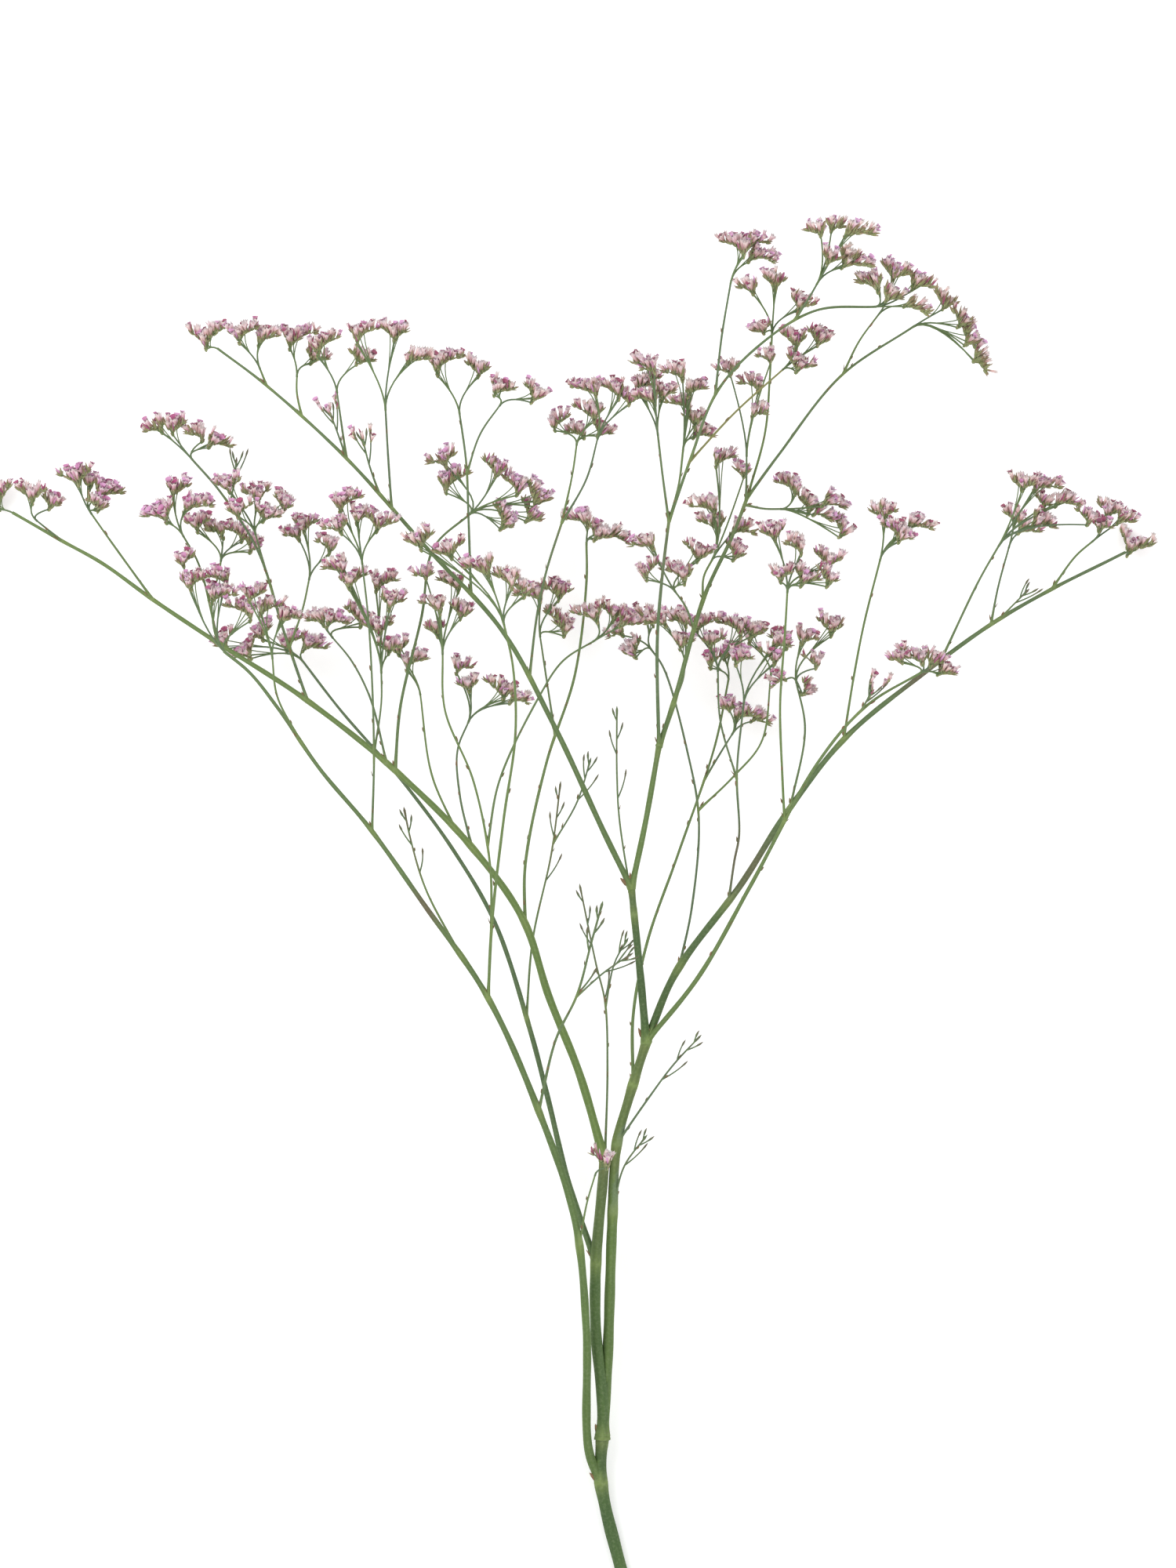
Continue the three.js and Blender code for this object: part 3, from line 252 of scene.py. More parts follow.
# %% Cut a line in even steps
def even_steps(fine, step):
    lengths = [0.0]
    for a, b in zip(fine, fine[1:]):
        lengths.append(lengths[-1] + (b - a).length)
    count = max(3, round(lengths[-1] / step))
    line, spot = [], 0
    for order in range(count + 1):
        wanted = lengths[-1] * order / count
        while spot < len(fine) - 2 and lengths[spot + 1] < wanted:
            spot += 1
        share = (wanted - lengths[spot]) / max(lengths[spot + 1] - lengths[spot], 1e-9)
        line.append(fine[spot].lerp(fine[spot + 1], min(1.0, share)))
    return line


trial = even_steps([Vector((0, 0, 0)), Vector((3, 0, 0)), Vector((4, 0, 0))], 1.0)
print("even steps:", [round(place.x, 2) for place in trial])

# %% [markdown]
# A twig bends evenly and passes every point of its row.  A Catmull-Rom line does both.
# The centripetal kind is used because it never loops between two points that lie close
# together, and because the solids were bent along the same line.

# %% A smooth line through points
FINE_PARTS = 24  # straight pieces between two points, before the line is cut evenly


def smooth_line(points, step):
    ends = [2 * points[0] - points[1], *points, 2 * points[-1] - points[-2]]
    fine = []
    for before, start, end, after in zip(ends, ends[1:], ends[2:], ends[3:]):
        gaps = [math.sqrt(max((b - a).length, 1e-9)) for a, b in
                ((before, start), (start, end), (end, after))]
        leave = (start - before) / gaps[0] - (end - before) / (gaps[0] + gaps[1])
        leave = (leave + (end - start) / gaps[1]) * gaps[1]
        arrive = (end - start) / gaps[1] - (after - start) / (gaps[1] + gaps[2])
        arrive = (arrive + (after - end) / gaps[2]) * gaps[1]
        for part in range(FINE_PARTS):
            t = part / FINE_PARTS
            fine.append(start * (2 * t**3 - 3 * t**2 + 1) + end * (3 * t**2 - 2 * t**3)
                        + leave * (t**3 - 2 * t**2 + t) + arrive * (t**3 - t**2))
    fine.append(points[-1].copy())
    return even_steps(fine, step)


trial = smooth_line([Vector((0, 0, 0)), Vector((1, 1, 0)), Vector((2, 0, 0))], 0.25)
print("steps on a trial arch:", len(trial) - 1)

# %% [markdown]
# Nature is never quite even, so many sizes below are drawn at random.  A small generator
# with a fixed seed gives the same numbers in every run; the solids use the same one.

# %% Numbers drawn the same way each time
MULTIPLIER, MODULUS = 16807, 2147483647


def seeded(seed):
    state = [seed]

    def draw(low, high):
        state[0] = state[0] * MULTIPLIER % MODULUS
        return low + (high - low) * state[0] / MODULUS

    return draw


print("a first number:", round(seeded(101)(0, 1), 4))

# %% [markdown]
# ## Where every branch runs
# A side branch leaves its parent exactly at the parent's middle line, so its first point
# is moved there.  A k-d tree answers which point of the earlier branches lies nearest.

# %% Root every branch on the one before
def nearest_of(points):
    tree = KDTree(len(points))
    for index, point in enumerate(points):
        tree.insert(point, index)
    tree.balance()
    return tree


STEM_STEP = 1.6 * MM
lines, forks, grown = {}, [], []
for name, _, _, row in BRANCHES:
    points = [Vector(point) * MM for point in row]
    if grown:
        points[0] = nearest_of(grown).find(points[0])[0].copy()
        forks.append(points[0].copy())
    lines[name] = smooth_line(points, STEM_STEP)
    grown += lines[name]
fork_tree = nearest_of(forks)
metres_of_twig = sum(len(line) for line in lines.values()) * STEM_STEP
print("forks:", len(forks), "and twigs in all:", round(metres_of_twig, 2), "m")

# %% [markdown]
# ## The green stems
# A twig is a long round rod that tapers, swells a little at each fork and ends either in
# a flower head or, on a sterile twig, in a small dry point.  Rings of points could be
# extruded one after another, but a curve with a radius at each point says the same thing
# in one place: Blender sweeps a section along it.  The section is a circle with faint
# ribs, because a statice scape feels ridged under the thumb.

# %% A faintly ribbed section
RIB_DEPTH = 0.08  # of the radius


def add_object(name, data):
    made = bpy.data.objects.new(name, data)
    bpy.context.scene.collection.objects.link(made)
    return made


def ribbed_section(ribs):
    section = bpy.data.curves.new("section", "CURVE")
    ring = section.splines.new("POLY")
    ring.points.add(2 * ribs - 1)
    for index, point in enumerate(ring.points):
        radius = MM * (1.0 if index % 2 else 1.0 - RIB_DEPTH)
        angle = math.pi * index / ribs
        point.co = (radius * math.cos(angle), radius * math.sin(angle), 0, 1)
    ring.use_cyclic_u = True
    return add_object("section", section)


print("depth of a rib on the foot of the stem:", BRANCHES[0][1] * RIB_DEPTH, "mm")

# %% [markdown]
# The sweep takes many rods at once and returns them as one mesh, because all the twigs
# grew as one piece.  The curve and its section are only tools, so they are thrown away.

# %% A sweep along many lines
def sweep(name, runs, ribs=6):
    """One mesh of rods: each run is a list of (place, radius) in metres."""
    section = ribbed_section(ribs)
    curve = bpy.data.curves.new(name, "CURVE")
    curve.dimensions = "3D"
    curve.bevel_mode = "OBJECT"
    curve.bevel_object = section
    curve.use_fill_caps = True
    for run in runs:
        rod = curve.splines.new("POLY")
        rod.points.add(len(run) - 1)
        for point, (place, radius) in zip(rod.points, run):
            point.co = (*place, 1)
            point.radius = radius / MM
    carrier = add_object(name, curve)
    bpy.context.view_layer.update()
    swept = carrier.evaluated_get(bpy.context.evaluated_depsgraph_get())
    mesh = bpy.data.meshes.new_from_object(swept)
    for used in (carrier, section):
        bpy.data.objects.remove(used)
    return mesh


trial = sweep("trial", [[(Vector((0, 0, 0)), MM), (Vector((0, 0, MM)), MM)]])
print("faces of one short rod:", len(trial.polygons))
bpy.data.meshes.remove(trial)

# %% [markdown]
# The radius along a branch: an even taper, a flare where it grows out of its parent, a
# low swelling near every fork that it carries, and a slow unevenness.  A sterile twig
# thickens into a bud over its last three and a half millimetres and closes to a point.

# %% The radius at each step of a branch
head_owners = {owner for owner, _ in HEADS}
LEFT_BARE = [name for name, *_ in BRANCHES if name not in head_owners]
FERTILE = {"trunk", "middle", "right", "up", "up_right", "crown", "fork_right", "v_up", "arch_rise"}
FLARE, FLARE_REACH = 0.32, 3.5 * MM
SWELL, SWELL_REACH = 0.13, 4 * MM
UNEVEN = 0.035
BUD_LENGTH, BUD_GIRTH = 3.6, 1.6


def bud_swell(to_tip):
    """How much a sterile tip swells, by the millimetres left to its end."""
    if to_tip > BUD_LENGTH:
        return 1.0
    return BUD_GIRTH * math.sin(math.pi * to_tip / BUD_LENGTH * 0.72 + 0.12)


def branch_run(name, root_radius, tip_radius, order):
    line = lines[name]
    length = STEM_STEP * (len(line) - 1)
    draw = seeded(900 + order)
    wave, turn = draw(22, 40) * MM, draw(0, 6)
    run = []
    for index, place in enumerate(line):
        run_length = length * index / (len(line) - 1)
        radius = (root_radius + (tip_radius - root_radius) * run_length / length) * MM
        flare = 0.0 if name == "trunk" else FLARE * math.exp(-run_length / FLARE_REACH)
        near = fork_tree.find(place)[2] / SWELL_REACH
        swell = SWELL * math.exp(-near * near) + UNEVEN * math.sin(run_length / wave * 6 + turn)
        if name in LEFT_BARE and name not in FERTILE:
            radius *= bud_swell((length - run_length) / MM)
        run.append((place, radius * (1 + flare + swell)))
    return run


branch_runs = [branch_run(name, root_radius, tip_radius, order)
               for order, (name, root_radius, tip_radius, _) in enumerate(BRANCHES)]
print("thickest place:", round(2 * max(run[0][1] for run in branch_runs) / MM, 1), "mm")

# %% [markdown]
# A sterile twig carries a few twiglets near its end, each a bent thread that closes in
# a pointed bud.  They leave by turns to the left and to the right.

# %% The twiglets
# Each row: the share of the twig where it leaves, its turn in radians and its length in
# millimetres.
TWIGLETS = [(0.58, 0.5, 14), (0.78, -2.6, 11), (0.86, 0.3, 8), (0.94, -2.9, 6)]
TWIGLET_STEPS = 12


def twiglet_runs(name, tip_radius):
    line, runs = lines[name], []
    for share, turn, length in TWIGLETS:
        index = round(share * (len(line) - 2))
        place, along = line[index], (line[index + 1] - line[index]).normalized()
        side = Quaternion(along, turn) @ along.cross(Vector((0, 0, 1))).normalized()
        control = place + (along * 0.5 + side * 0.28) * length * MM
        end = place + (along * 0.95 + side * 0.34) * length * MM
        shares = [step / TWIGLET_STEPS for step in range(TWIGLET_STEPS + 1)]
        thread = [place.lerp(control, t).lerp(control.lerp(end, t), t) for t in shares]
        runs.append([(spot, tip_radius * MM * bud_swell(length * (1 - t)) * (0.95 - 0.2 * t))
                     for spot, t in zip(thread, shares)])
    return runs


sterile_twigs = [row for row in BRANCHES if row[0] in LEFT_BARE and row[0] not in FERTILE]
twiglets = [run for name, _, tip_radius, _ in sterile_twigs for run in twiglet_runs(name, tip_radius)]
stem_mesh = sweep("stem", branch_runs + twiglets)
print("stem faces:", len(stem_mesh.polygons), "twiglets:", len(twiglets))

# %% [markdown]
# ## The plan of one flower head
# At the tip of its branch a head parts into fine stalks, one for each fan of florets.
# The same sums as in the solids give a fan's directions: growth points away from the
# root and up to the light, across runs along the fan's width, and depth is square to
# both.  Bow lifts the middle of the crown or, below zero, dips it into a shallow V.
# Shift moves the foot to one side, because a statice spike is seldom even.

# %% The stalks and fans of every head
FAN_TURN = 0.45         # radians either way
FAN_BOW = (-0.3, 0.06)  # of the width
FAN_SHIFT = 0.8         # of half the width, either way
FAN_FOOT = 0.42         # how far the foot lies below the middle, in widths


def plan_head(owner, rows, order):
    draw = seeded(101 + order * 37)
    leans = [(draw(-FAN_TURN, FAN_TURN), draw(*FAN_BOW), draw(-FAN_SHIFT, FAN_SHIFT)) for _ in rows]
    root, heading = lines[owner][-1], (lines[owner][-1] - lines[owner][-2]).normalized()
    plan = []
    for (x, y, z, width), (turn, bow, shift) in zip(rows, leans):
        middle = Vector((x, y, z)) * MM
        growth = ((middle - root).normalized() + Vector((0, 0.9, 0.15))).normalized()
        across = growth.cross(Vector((0, 0, 1))).normalized()
        across = Quaternion(growth, turn) @ across
        foot = middle - growth * width * FAN_FOOT * MM + across * shift * width / 2 * MM
        plan.append({"root": root, "heading": heading, "middle": middle, "foot": foot,
                     "growth": growth, "across": across, "depth": across.cross(growth),
                     "width": width * MM, "bow": bow})
    return plan


head_plans = {owner: plan_head(owner, rows, order) for order, (owner, rows) in enumerate(HEADS)}
all_fans = [fan for plan in head_plans.values() for fan in plan]
print("fans planned:", len(all_fans))

# %% [markdown]
# The stalks are the finest green parts, under a millimetre thick.  Each leaves the
# branch along its heading and bends towards its fan, so a quadratic line with one
# control point is enough.  All stalks of a head start in one small knot.

# %% A bent line between two places
BEND_POINTS = 9


def bent_between(start, control, end, count=BEND_POINTS):
    shares = [index / (count - 1) for index in range(count)]
    return [start.lerp(control, t).lerp(control.lerp(end, t), t) for t in shares]


def thinning(places, radius, loss):
    """A run along the places, whose radius falls by the loss, both in millimetres."""
    return [(place, (radius - loss * index / (BEND_POINTS - 1)) * MM)
            for index, place in enumerate(places)]


print("places on a bent line:", BEND_POINTS)

# %% [markdown]
# The first ring of a stalk is a little thicker, where it sits in the knot.  One twig
# carries no head of its own but feeds two fans of its neighbour's, so two more stalks
# join its tip to them.

# %% The fine stalks
def stalk_run(fan):
    reach = (fan["middle"] - fan["root"]).length
    control = fan["root"] + fan["heading"] * reach * 0.28
    places = bent_between(fan["root"] - fan["heading"] * 1.5 * MM, control, fan["foot"])
    return [(places[0], (0.44 + 0.12) * MM), *thinning(places, 0.44, 0.07)[1:]]


def joining_runs(name, owner, count):
    """Stalks from the tip of a headless twig to the nearest fans of another branch's head."""
    tip, heading = lines[name][-1], (lines[name][-1] - lines[name][-2]).normalized()
    nearest = sorted(head_plans[owner], key=lambda fan: (fan["foot"] - tip).length)[:count]
    runs = []
    for fan in nearest:
        control = tip + heading * (fan["foot"] - tip).length * 0.4
        runs.append(thinning(bent_between(tip - heading * MM, control, fan["foot"]), 0.42, 0.05))
    return runs


stalk_runs = [stalk_run(fan) for fan in all_fans]
stalk_runs += joining_runs("arch_rise", "crown_arch", 2)
stalk_mesh = sweep("fine_stalks", stalk_runs, ribs=4)
print("stalk faces:", len(stalk_mesh.polygons))

# %% [markdown]
# ## One floret
# A statice floret is a papery funnel, the calyx, with a five-lobed frilled rim.  It
# stands in keeled bracts that are green at the foot and brown at the point, and some
# hold a small deep pink flower.  One paint has to colour all of these, so every corner
# carries numbers that say what it belongs to.

# %% The marks that travel with each floret
# Height is 0 at the foot of an organ and 1 at its tip, and vein is 1 along the five dark
# veins of a calyx.  A bud is marked as a petal.
BRACT, CALYX, PETAL = 0.0, 0.5, 1.0


def mark(bm, organ, low, high):
    organs = bm.verts.layers.float.new("organ")
    heights = bm.verts.layers.float.new("height")
    veins = bm.verts.layers.float.new("vein")
    for vert in bm.verts:
        vert[veins] = 0.0
        vert[organs] = organ
        vert[heights] = min(1.0, max(0.0, (vert.co.z - low) / (high - low)))


print("organ marks:", {"bract": BRACT, "calyx": CALYX, "petal": PETAL})

# %% [markdown]
# The funnel is a profile spun about its axis: a spin closes the wall outside and inside
# in one step.  Ten steps let every second corner of the rim drop into a notch, which
# makes the five lobes, and the corners between the notches stand on the veins.

# %% A papery funnel
LOBES = 5
SPOKES = 2 * LOBES


def spoke_of(vert):
    """The number of the spoke that a corner stands on; the odd ones are notches."""
    return round(math.atan2(vert.co.y, vert.co.x) / math.tau * SPOKES) % SPOKES


def calyx(mouth, length):
    bm = bmesh.new()
    profile = [(0, 0.9), (0.5, 1.2), (0.36 + mouth * 0.34, length * 0.62), (mouth, length),
               (mouth * 0.42, length * 0.66), (0, length * 0.6)]
    verts = [bm.verts.new((x * MM, 0, z * MM)) for x, z in profile]
    edges = [bm.edges.new(pair) for pair in zip(verts, verts[1:])]
    bmesh.ops.spin(bm, geom=verts + edges, axis=(0, 0, 1), cent=(0, 0, 0), steps=SPOKES,
                   angle=math.tau, use_merge=True)
    bmesh.ops.remove_doubles(bm, verts=bm.verts, dist=0.02 * MM)
    bmesh.ops.recalc_face_normals(bm, faces=bm.faces)
    mark(bm, CALYX, 0.9 * MM, length * MM)
    veins = bm.verts.layers.float["vein"]
    for vert in bm.verts:
        notch = spoke_of(vert) % 2
        vert[veins] = 1.0 - notch
        if vert.co.z > (length - 0.05) * MM:
            girth, drop = (0.8, 0.75) if notch else (1.08, -0.1)
            vert.co = Vector((vert.co.x * girth, vert.co.y * girth, vert.co.z - drop * MM))
    return bm


trial = calyx(1.35, 4.6)
print("faces of a calyx:", len(trial.faces))
trial.free()

# %% [markdown]
# Bracts, buds and sepals are all long pointed scales.  A coarse sphere is stretched,
# its widest place is moved down and its upper half is drawn out to a point.

# %% A pointed scale
def pointed_scale(width, thickness, length, lean=0.0, side=0.0, sides=4, organ=BRACT, rings=4):
    bm = bmesh.new()
    bmesh.ops.create_uvsphere(bm, u_segments=sides, v_segments=rings, radius=0.5)
    for vert in bm.verts:
        up = vert.co.z + 0.5
        slim = 1.0 - 0.45 * max(0.0, up - 0.4) / 0.6
        vert.co = Vector((vert.co.x * slim * width * MM, vert.co.y * slim * thickness * MM,
                          up**1.25 * length * MM))
    mark(bm, organ, 0.0, length * MM)
    bmesh.ops.translate(bm, verts=bm.verts, vec=(0, side * MM, 0))
    bmesh.ops.rotate(bm, verts=bm.verts, cent=(0, 0, 0), matrix=Matrix.Rotation(-lean, 3, "X"))
    return bm


trial = pointed_scale(1.2, 0.75, 6.0)
print("faces of a scale:", len(trial.faces))
trial.free()

# %% [markdown]
# An open flower fills the mouth of its calyx with five notched petals.  They are one
# disc whose middle is pushed down into a cone, so that no gap shows between the flower
# and its calyx, and whose every second corner is drawn in to part the petals.

# %% Petals of an open flower
PETAL_DEPTH, PETAL_RISE = 1.3, 0.15  # millimetres


def petals(radius, height):
    bm = bmesh.new()
    bmesh.ops.create_circle(bm, cap_ends=True, cap_tris=True, segments=SPOKES, radius=radius * MM)
    bmesh.ops.translate(bm, verts=bm.verts, vec=(0, 0, height * MM))
    for vert in bm.verts:
        out = Vector((vert.co.x, vert.co.y, 0))
        if out.length < 0.1 * MM:
            vert.co.z -= PETAL_DEPTH * MM
        elif spoke_of(vert) % 2:
            vert.co -= out * 0.5
            vert.co.z -= 0.4 * MM
        else:
            vert.co.z += PETAL_RISE * MM
    mark(bm, PETAL, (height - PETAL_DEPTH) * MM, (height + PETAL_RISE) * MM)
    return bm


trial = petals(1.6, 4.5)
print("faces of a flower:", len(trial.faces))
trial.free()

# %% [markdown]
# Five kinds of floret are put together from these: open with petals, plain papery,
# still narrow, still shut in green bracts, and a pink bud.  Each is kept as one small
# mesh of a few dozen faces, because it is set thousands of times.

# %% Gather parts into one small mesh
def finished_mesh(bm, name):
    mesh = bpy.data.meshes.new(name)
    bm.to_mesh(mesh)
    bm.free()
    return mesh


def gather(name, parts):
    whole = bmesh.new()
    for part in parts:
        spare = bpy.data.meshes.new("spare")
        part.to_mesh(spare)
        part.free()
        whole.from_mesh(spare)
        bpy.data.meshes.remove(spare)
    return finished_mesh(whole, name)


def turned(bm, angle):
    bmesh.ops.rotate(bm, verts=bm.verts, cent=(0, 0, 0), matrix=Matrix.Rotation(angle, 3, "Z"))
    return bm


def bract_pair(length):
    inner = pointed_scale(1.15, 0.6, length, lean=0.14, side=0.32, rings=3)
    outer = pointed_scale(1.25, 0.55, length * 0.7, lean=0.26, side=0.4, rings=3)
    return [inner, turned(outer, math.pi * 0.9)]


FLORETS = {
    "open": gather("open", [calyx(1.45, 4.3), petals(1.6, 4.5), *bract_pair(2.7)]),
    "papery": gather("papery", [calyx(1.35, 4.6), *bract_pair(2.9)]),
    "narrow": gather("narrow", [calyx(0.9, 4.8), *bract_pair(3.1)]),
    "green": gather("green", [pointed_scale(1.3, 1.0, 4.2, sides=5), *bract_pair(3.4)]),
    "bud": gather("bud", [pointed_scale(1.2, 1.2, 4.1, sides=5, organ=PETAL), *bract_pair(2.8)]),
}
print({kind: len(mesh.polygons) for kind, mesh in FLORETS.items()})

# %% [markdown]
# ## Filling the fans
# A fan is not an even cup: two arms or, in a wide fan, three part at its foot, and each
# arm is a one-sided spike like a small ear of wheat.  Green bracts overlap along its
# outer side, and the papery florets stand up in two rows on its inner side.  All the
# copies of one head go into one mesh, because the head is one piece of the part and is
# painted as one.

# %% Set a copy of a small mesh in place
SHAPE_MARKS = ("organ", "height", "vein")
FLORET_MARKS = (*SHAPE_MARKS, "tint", "fresh", "brown")


def marked_bmesh(layer_names):
    bm = bmesh.new()
    for layer_name in layer_names:
        bm.verts.layers.float.new(layer_name)
    return bm


def set_copy(bm, mesh, place, heading, roll, size, marks):
    count = len(bm.verts)
    bm.from_mesh(mesh)
    bm.verts.ensure_lookup_table()
    fresh = bm.verts[count:]
    turn = heading.to_track_quat("Z", "Y") @ Quaternion((0, 0, 1), roll)
    spot = Matrix.LocRotScale(place, turn, Vector(size))
    bmesh.ops.transform(bm, matrix=spot, verts=fresh)
    for layer_name, value in marks.items():
        layer = bm.verts.layers.float[layer_name]
        for vert in fresh:
            vert[layer] = value


trial = marked_bmesh(FLORET_MARKS)
set_copy(trial, FLORETS["open"], Vector((0, 0, 0)), Vector((0, 0, 1)), 0.0, (1, 1, 1), {"tint": 0.5})
print("corners of one open floret in place:", len(trial.verts))
trial.free()

# %% [markdown]
# Some heads are in full flower, others are still in bud or already dry.  A mood for each
# head says how much deep pink, brown and leafy bract it shows; heads that aren't named
# lie in between.

# %% The mood of each head
FRESH = {"crown_arch": 0.3, "end_up_1": 1.0, "end_up_2": 0.8, "end_up_3": 0.6, "arm_left": 0.6,
         "far_left": 0.5, "far_fork": 0.4, "inner_up": 0.7, "left_up": 0.6, "left": 0.5,
         "under_left": 0.6, "left_up_2": 0.4, "left_c6": 0.5, "left_c7": 0.4, "knee": 0.5,
         "back_bud": 0.5, "back_right": 0.6, "ochre": 0.4, "fork_side": 0.3}
BROWN = {"fork_thin": 0.5, "over_right": 0.4, "v_left": 0.4, "v_right": 0.6, "fork_back": 0.4,
         "peak": 0.6, "over_bud": 0.6, "arm_up_2": 0.4, "arm_up_3": 0.5, "left_side": 0.5,
         "g_up_3": 0.5, "tall_right": 0.6, "tall_left": 0.4, "inner_side": 0.5, "fork_arch": 0.5,
         "crown_left": 0.4, "ochre": 0.5}
LEAFY = {"peak_right": 0.9, "crown_arch": 1.0, "fork_arch": 1.0, "inner_up": 0.6, "ochre": 0.4,
         "tall": 0.4, "far_left": 0.5, "end_up_2": 0.4, "end_up_3": 0.4, "inner_side": 0.4,
         "fork_up": 0.3}
USUAL_FRESH, USUAL_BROWN, USUAL_LEAFY = 0.15, 0.2, 0.1


def mood_of(owner):
    return {"fresh": FRESH.get(owner, USUAL_FRESH), "brown": BROWN.get(owner, USUAL_BROWN),
            "leafy": LEAFY.get(owner, USUAL_LEAFY)}


print("mood of the crown's arch:", mood_of("crown_arch"))

# %% [markdown]
# An arm runs from the foot of its fan to the crown.  The arms spread evenly over the
# width of the fan, each a little off its place, and end on the bowed line of the crown.

# %% The arms of a fan
WIDE_FAN = 12.5 * MM
ARM_SPREAD = 0.72  # of half the width


def plan_arms(fan, draw):
    """Lines from the foot to the crown, two in a narrow fan and three in a wide one."""
    growth, across, depth, half = fan["growth"], fan["across"], fan["depth"], fan["width"] / 2
    count = 3 if fan["width"] > WIDE_FAN else 2
    arms = []
    for order in range(count):
        reach = (order / (count - 1) * 2 - 1) * ARM_SPREAD + draw(-0.14, 0.14)
        rise = fan["bow"] * fan["width"] * (0.5 - reach * reach) - draw(0.3, 1.7) * MM
        end = fan["middle"] + across * half * reach + growth * rise + depth * draw(-1.4, 1.4) * MM
        control = fan["foot"] + growth * (end - fan["foot"]).length * draw(0.25, 0.5)
        arms.append(bent_between(fan["foot"] - growth * 0.8 * MM, control, end))
    return arms


arm_draws = {owner: seeded(4000 + order * 29) for order, owner in enumerate(head_plans)}
for owner, plan in head_plans.items():
    for fan in plan:
        fan["arms"] = plan_arms(fan, arm_draws[owner])
print("arms:", sum(len(fan["arms"]) for fan in all_fans))

# %% [markdown]
# Florets are set by their share of an arm's length, and the kind of each is drawn.  Near
# the end of an arm many are still buds, a leafy head keeps more of them shut, and a
# fresh head opens more of them.

# %% Small choices along an arm
def on_line(line, share):
    """The place at a share of a line, and the direction in which the line runs there."""
    index = min(len(line) - 2, int(share * (len(line) - 1)))
    ahead = line[index + 1] - line[index]
    return line[index] + ahead * (share * (len(line) - 1) - index), ahead.normalized()


def choose_kind(draw, near_end, fresh, brown, leafy):
    luck = draw(0, 1)
    if draw(0, 1) < 0.08 + 0.4 * leafy:
        return "green"
    if luck < 0.08 + 0.25 * brown + 0.4 * near_end:
        return "bud"
    if luck < 0.3 + 0.2 * brown + 0.4 * near_end:
        return "narrow"
    return "open" if luck > 0.8 - 0.5 * fresh else "papery"


trial_draw = seeded(1)
print("kinds in a usual head:", [choose_kind(trial_draw, 0, USUAL_FRESH, USUAL_BROWN, USUAL_LEAFY)
                                 for _ in range(5)])

# %% [markdown]
# Each arm has a thin green axis.  Halfway up its stalk a wider fan sends out finer side
# stalks, one to the middle of each arm.

# %% The axes of the arms and their side stalks
BRANCHED_FAN = 10.5 * MM
SIDE_RADIUS = 0.25 * MM


def side_stalks(fan, stalk):
    start, ahead = on_line([place for place, _ in stalk], 0.5)
    runs = []
    for arm in fan["arms"]:
        end = on_line(arm, 0.6)[0]
        control = start + ahead * (end - start).length * 0.5
        runs.append([(place, SIDE_RADIUS) for place in bent_between(start, control, end, 6)])
    return runs


arm_runs = []
for fan, stalk in zip(all_fans, stalk_runs):
    arm_runs += [thinning(arm, 0.36, 0.16) for arm in fan["arms"]]
    if fan["width"] > BRANCHED_FAN:
        arm_runs += side_stalks(fan, stalk)
axis_mesh = sweep("spike_axes", arm_runs, ribs=3)
print("axes and side stalks:", len(arm_runs))

# %% [markdown]
# Along an arm the florets come in small groups, by turns in the front and the back row.
# Under each group lie one or two keeled bracts that point along the arm, longer in a
# leafy head and browner in a faded one.

# %% The bracts under a group
KEEL_LENGTH = 6.0  # millimetres
KEEL = gather("keel", [pointed_scale(1.2, 0.75, KEEL_LENGTH, side=0.1)])


def set_keel(bm, start, reach, draw, girth, brown):
    marks = {"tint": draw(0, 1), "fresh": 0.0, "brown": brown}
    set_copy(bm, KEEL, start, reach.normalized(), draw(0, math.tau),
             (girth, girth, reach.length / (KEEL_LENGTH * MM)), marks)


def set_bracts(bm, place, ahead, upper, depth, draw, mood, faded):
    leafy = mood["leafy"]
    lifts = (0.0, 0.35) if draw(0, 1) < 0.25 + 0.6 * leafy else (0.12,)
    for lift in lifts:
        reach = ahead + upper * (lift + draw(-0.08, 0.15)) + depth * draw(0.0, 0.35)
        reach = reach.normalized() * draw(2.4, 3.6) * (1 + 0.35 * leafy) * MM
        set_keel(bm, place - upper * 0.4 * MM, reach, draw, draw(0.8, 1.05) + 0.4 * leafy,
                 min(1.0, draw(0, 0.5) * (1 - 0.6 * leafy) + 0.4 * faded))


print("faces of a keeled bract:", len(KEEL.polygons))

# %% [markdown]
# A group opens together, so its two or three florets share a tint and differ only a
# little in size, lean and age.  Now and then a whole group has faded.

# %% Set one group of florets
USUAL_LENGTH = 4.6  # millimetres, the length at which the small meshes are set unstretched


